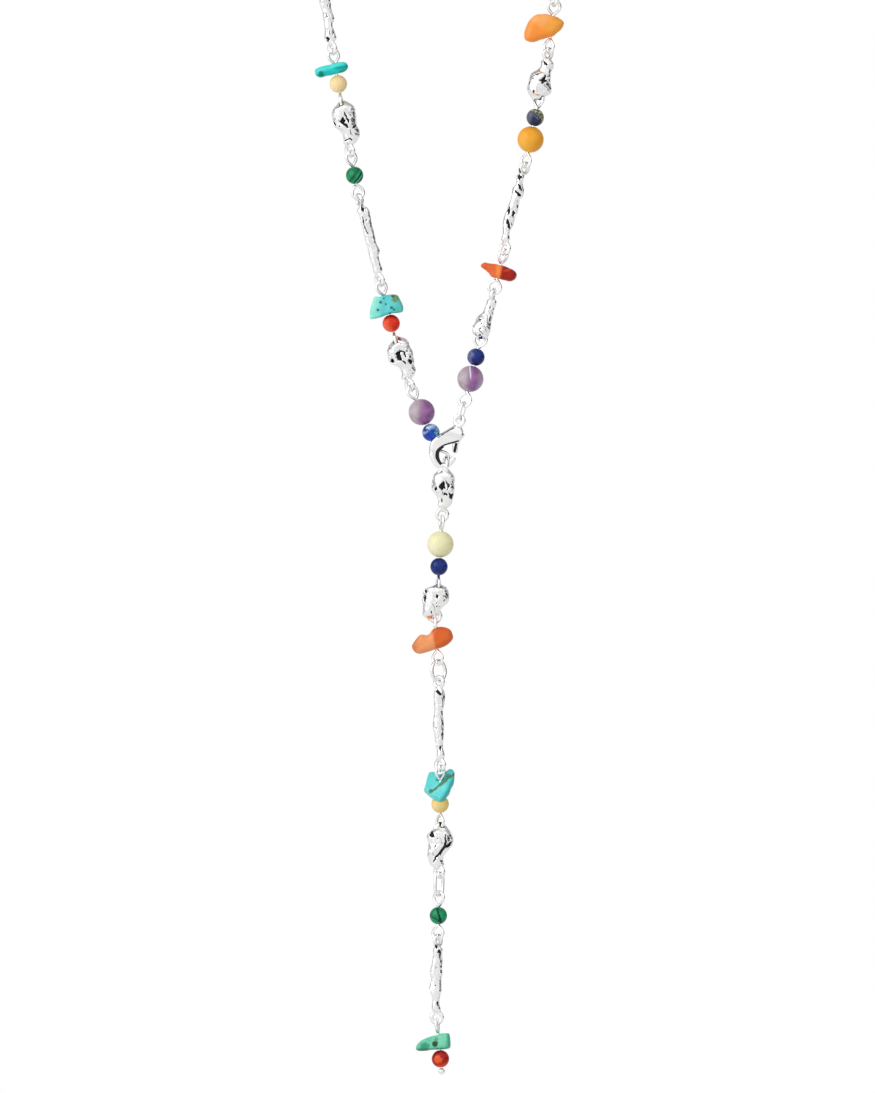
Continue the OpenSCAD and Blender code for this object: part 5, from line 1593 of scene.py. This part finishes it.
for node, shape in metal.items():
    shape.build(node, SLOT_OF[node], SILVER)
for node, shape in stones.items():
    stone = Stone(node.replace("_bead", "") + "_stone", shape.middle)
    shape.build(node, SLOT_OF[node], STONE_FINISHES[SLOT_OF[node]](stone, node))
lever = Mesh()
lever.add(*clasp_lever())
lever.build("clasp_lever", SLOT_OF["clasp_lever"], SILVER, "lever")


# Floor, light and camera
FLOOR_Z, FLOOR_HALF = -330, 3000
CENTRE = (-0.00182, -0.1057, -0.19446)
KEY_PLACE, KEY_SIZE, KEY_POWER = (-1.0, -0.9, 0.5), 1.5, 9
CAMERA_DISTANCE = 2.0


def add_object(name, data):
    obj = bpy.data.objects.new(name, data)
    bpy.context.scene.collection.objects.link(obj)
    return obj


floor_mesh = bpy.data.meshes.new("floor")
corners = [(x * FLOOR_HALF, y * FLOOR_HALF, FLOOR_Z) for x, y in ((-1, -1), (1, -1), (1, 1), (-1, 1))]
floor_mesh.from_pydata([[v * MM for v in corner] for corner in corners], [], [(0, 1, 2, 3)])
paper = Material("paper").finish(Base_Color=(0.9, 0.9, 0.9, 1), Roughness=0.9)
floor_mesh.materials.append(paper)
add_object("floor", floor_mesh)

# The studio as the silver sees it: pale in front, grey to the sides and behind, a black card low on the right
world = bpy.data.worlds.new("studio")
bpy.context.scene.world = world
world.use_nodes = True
sky = Nodes(world.node_tree, "Generated")
depth = sky.math("MULTIPLY_ADD", sky.along((0, 1, 0)), 0.5, 0.5)
around = sky.ramp(depth, (0.0, 0.80), (0.12, 0.95), (0.28, 0.96), (0.40, 0.76), (0.55, 0.5), (0.72, 0.34),
                  (0.86, 0.45), (0.96, 0.9))
sides = sky.math("MULTIPLY_ADD", sky.along((-0.7, 0, 0.7)), 0.2, 1.0)
low_right = sky.ramp(sky.along((0.8, 0, -0.6)), (0.5, 0.0), (0.66, 0.97))
reach = sky.ramp(depth, (0.18, 0.0), (0.3, 1.0), (0.86, 1.0), (0.93, 0.0))
card = sky.math("SUBTRACT", 1.0, sky.math("MULTIPLY", low_right, reach))
level = sky.math("MULTIPLY", sky.math("MULTIPLY", around, sides), card)
# Behind the necklace the picture is plain white
seen = sky.math("MAXIMUM", level, sky.new("LightPath").outputs["Is Camera Ray"])
background = world.node_tree.nodes["Background"]
sky.link(seen, background.inputs["Color"])
background.inputs["Strength"].default_value = 1.0

key = bpy.data.lights.new("key", "AREA")
key.shape = "DISK"
key.size, key.energy = KEY_SIZE, KEY_POWER
lamp = add_object("key", key)
lamp.location = KEY_PLACE
lamp.rotation_euler = (Vector(CENTRE) - Vector(KEY_PLACE)).to_track_quat("-Z", "Y").to_euler()

camera_data = bpy.data.cameras.new("camera")
camera_data.type = "ORTHO"
camera_data.ortho_scale = PHOTO_HEIGHT / PX_PER_MM * MM
camera_data.clip_start = 0.05
camera = add_object("camera", camera_data)
camera.location = (CENTRE[0], CENTRE[1] - CAMERA_DISTANCE, CENTRE[2])
camera.rotation_euler = (math.pi / 2, 0, 0)
bpy.context.scene.camera = camera
bpy.context.scene.view_settings.view_transform = "Standard"
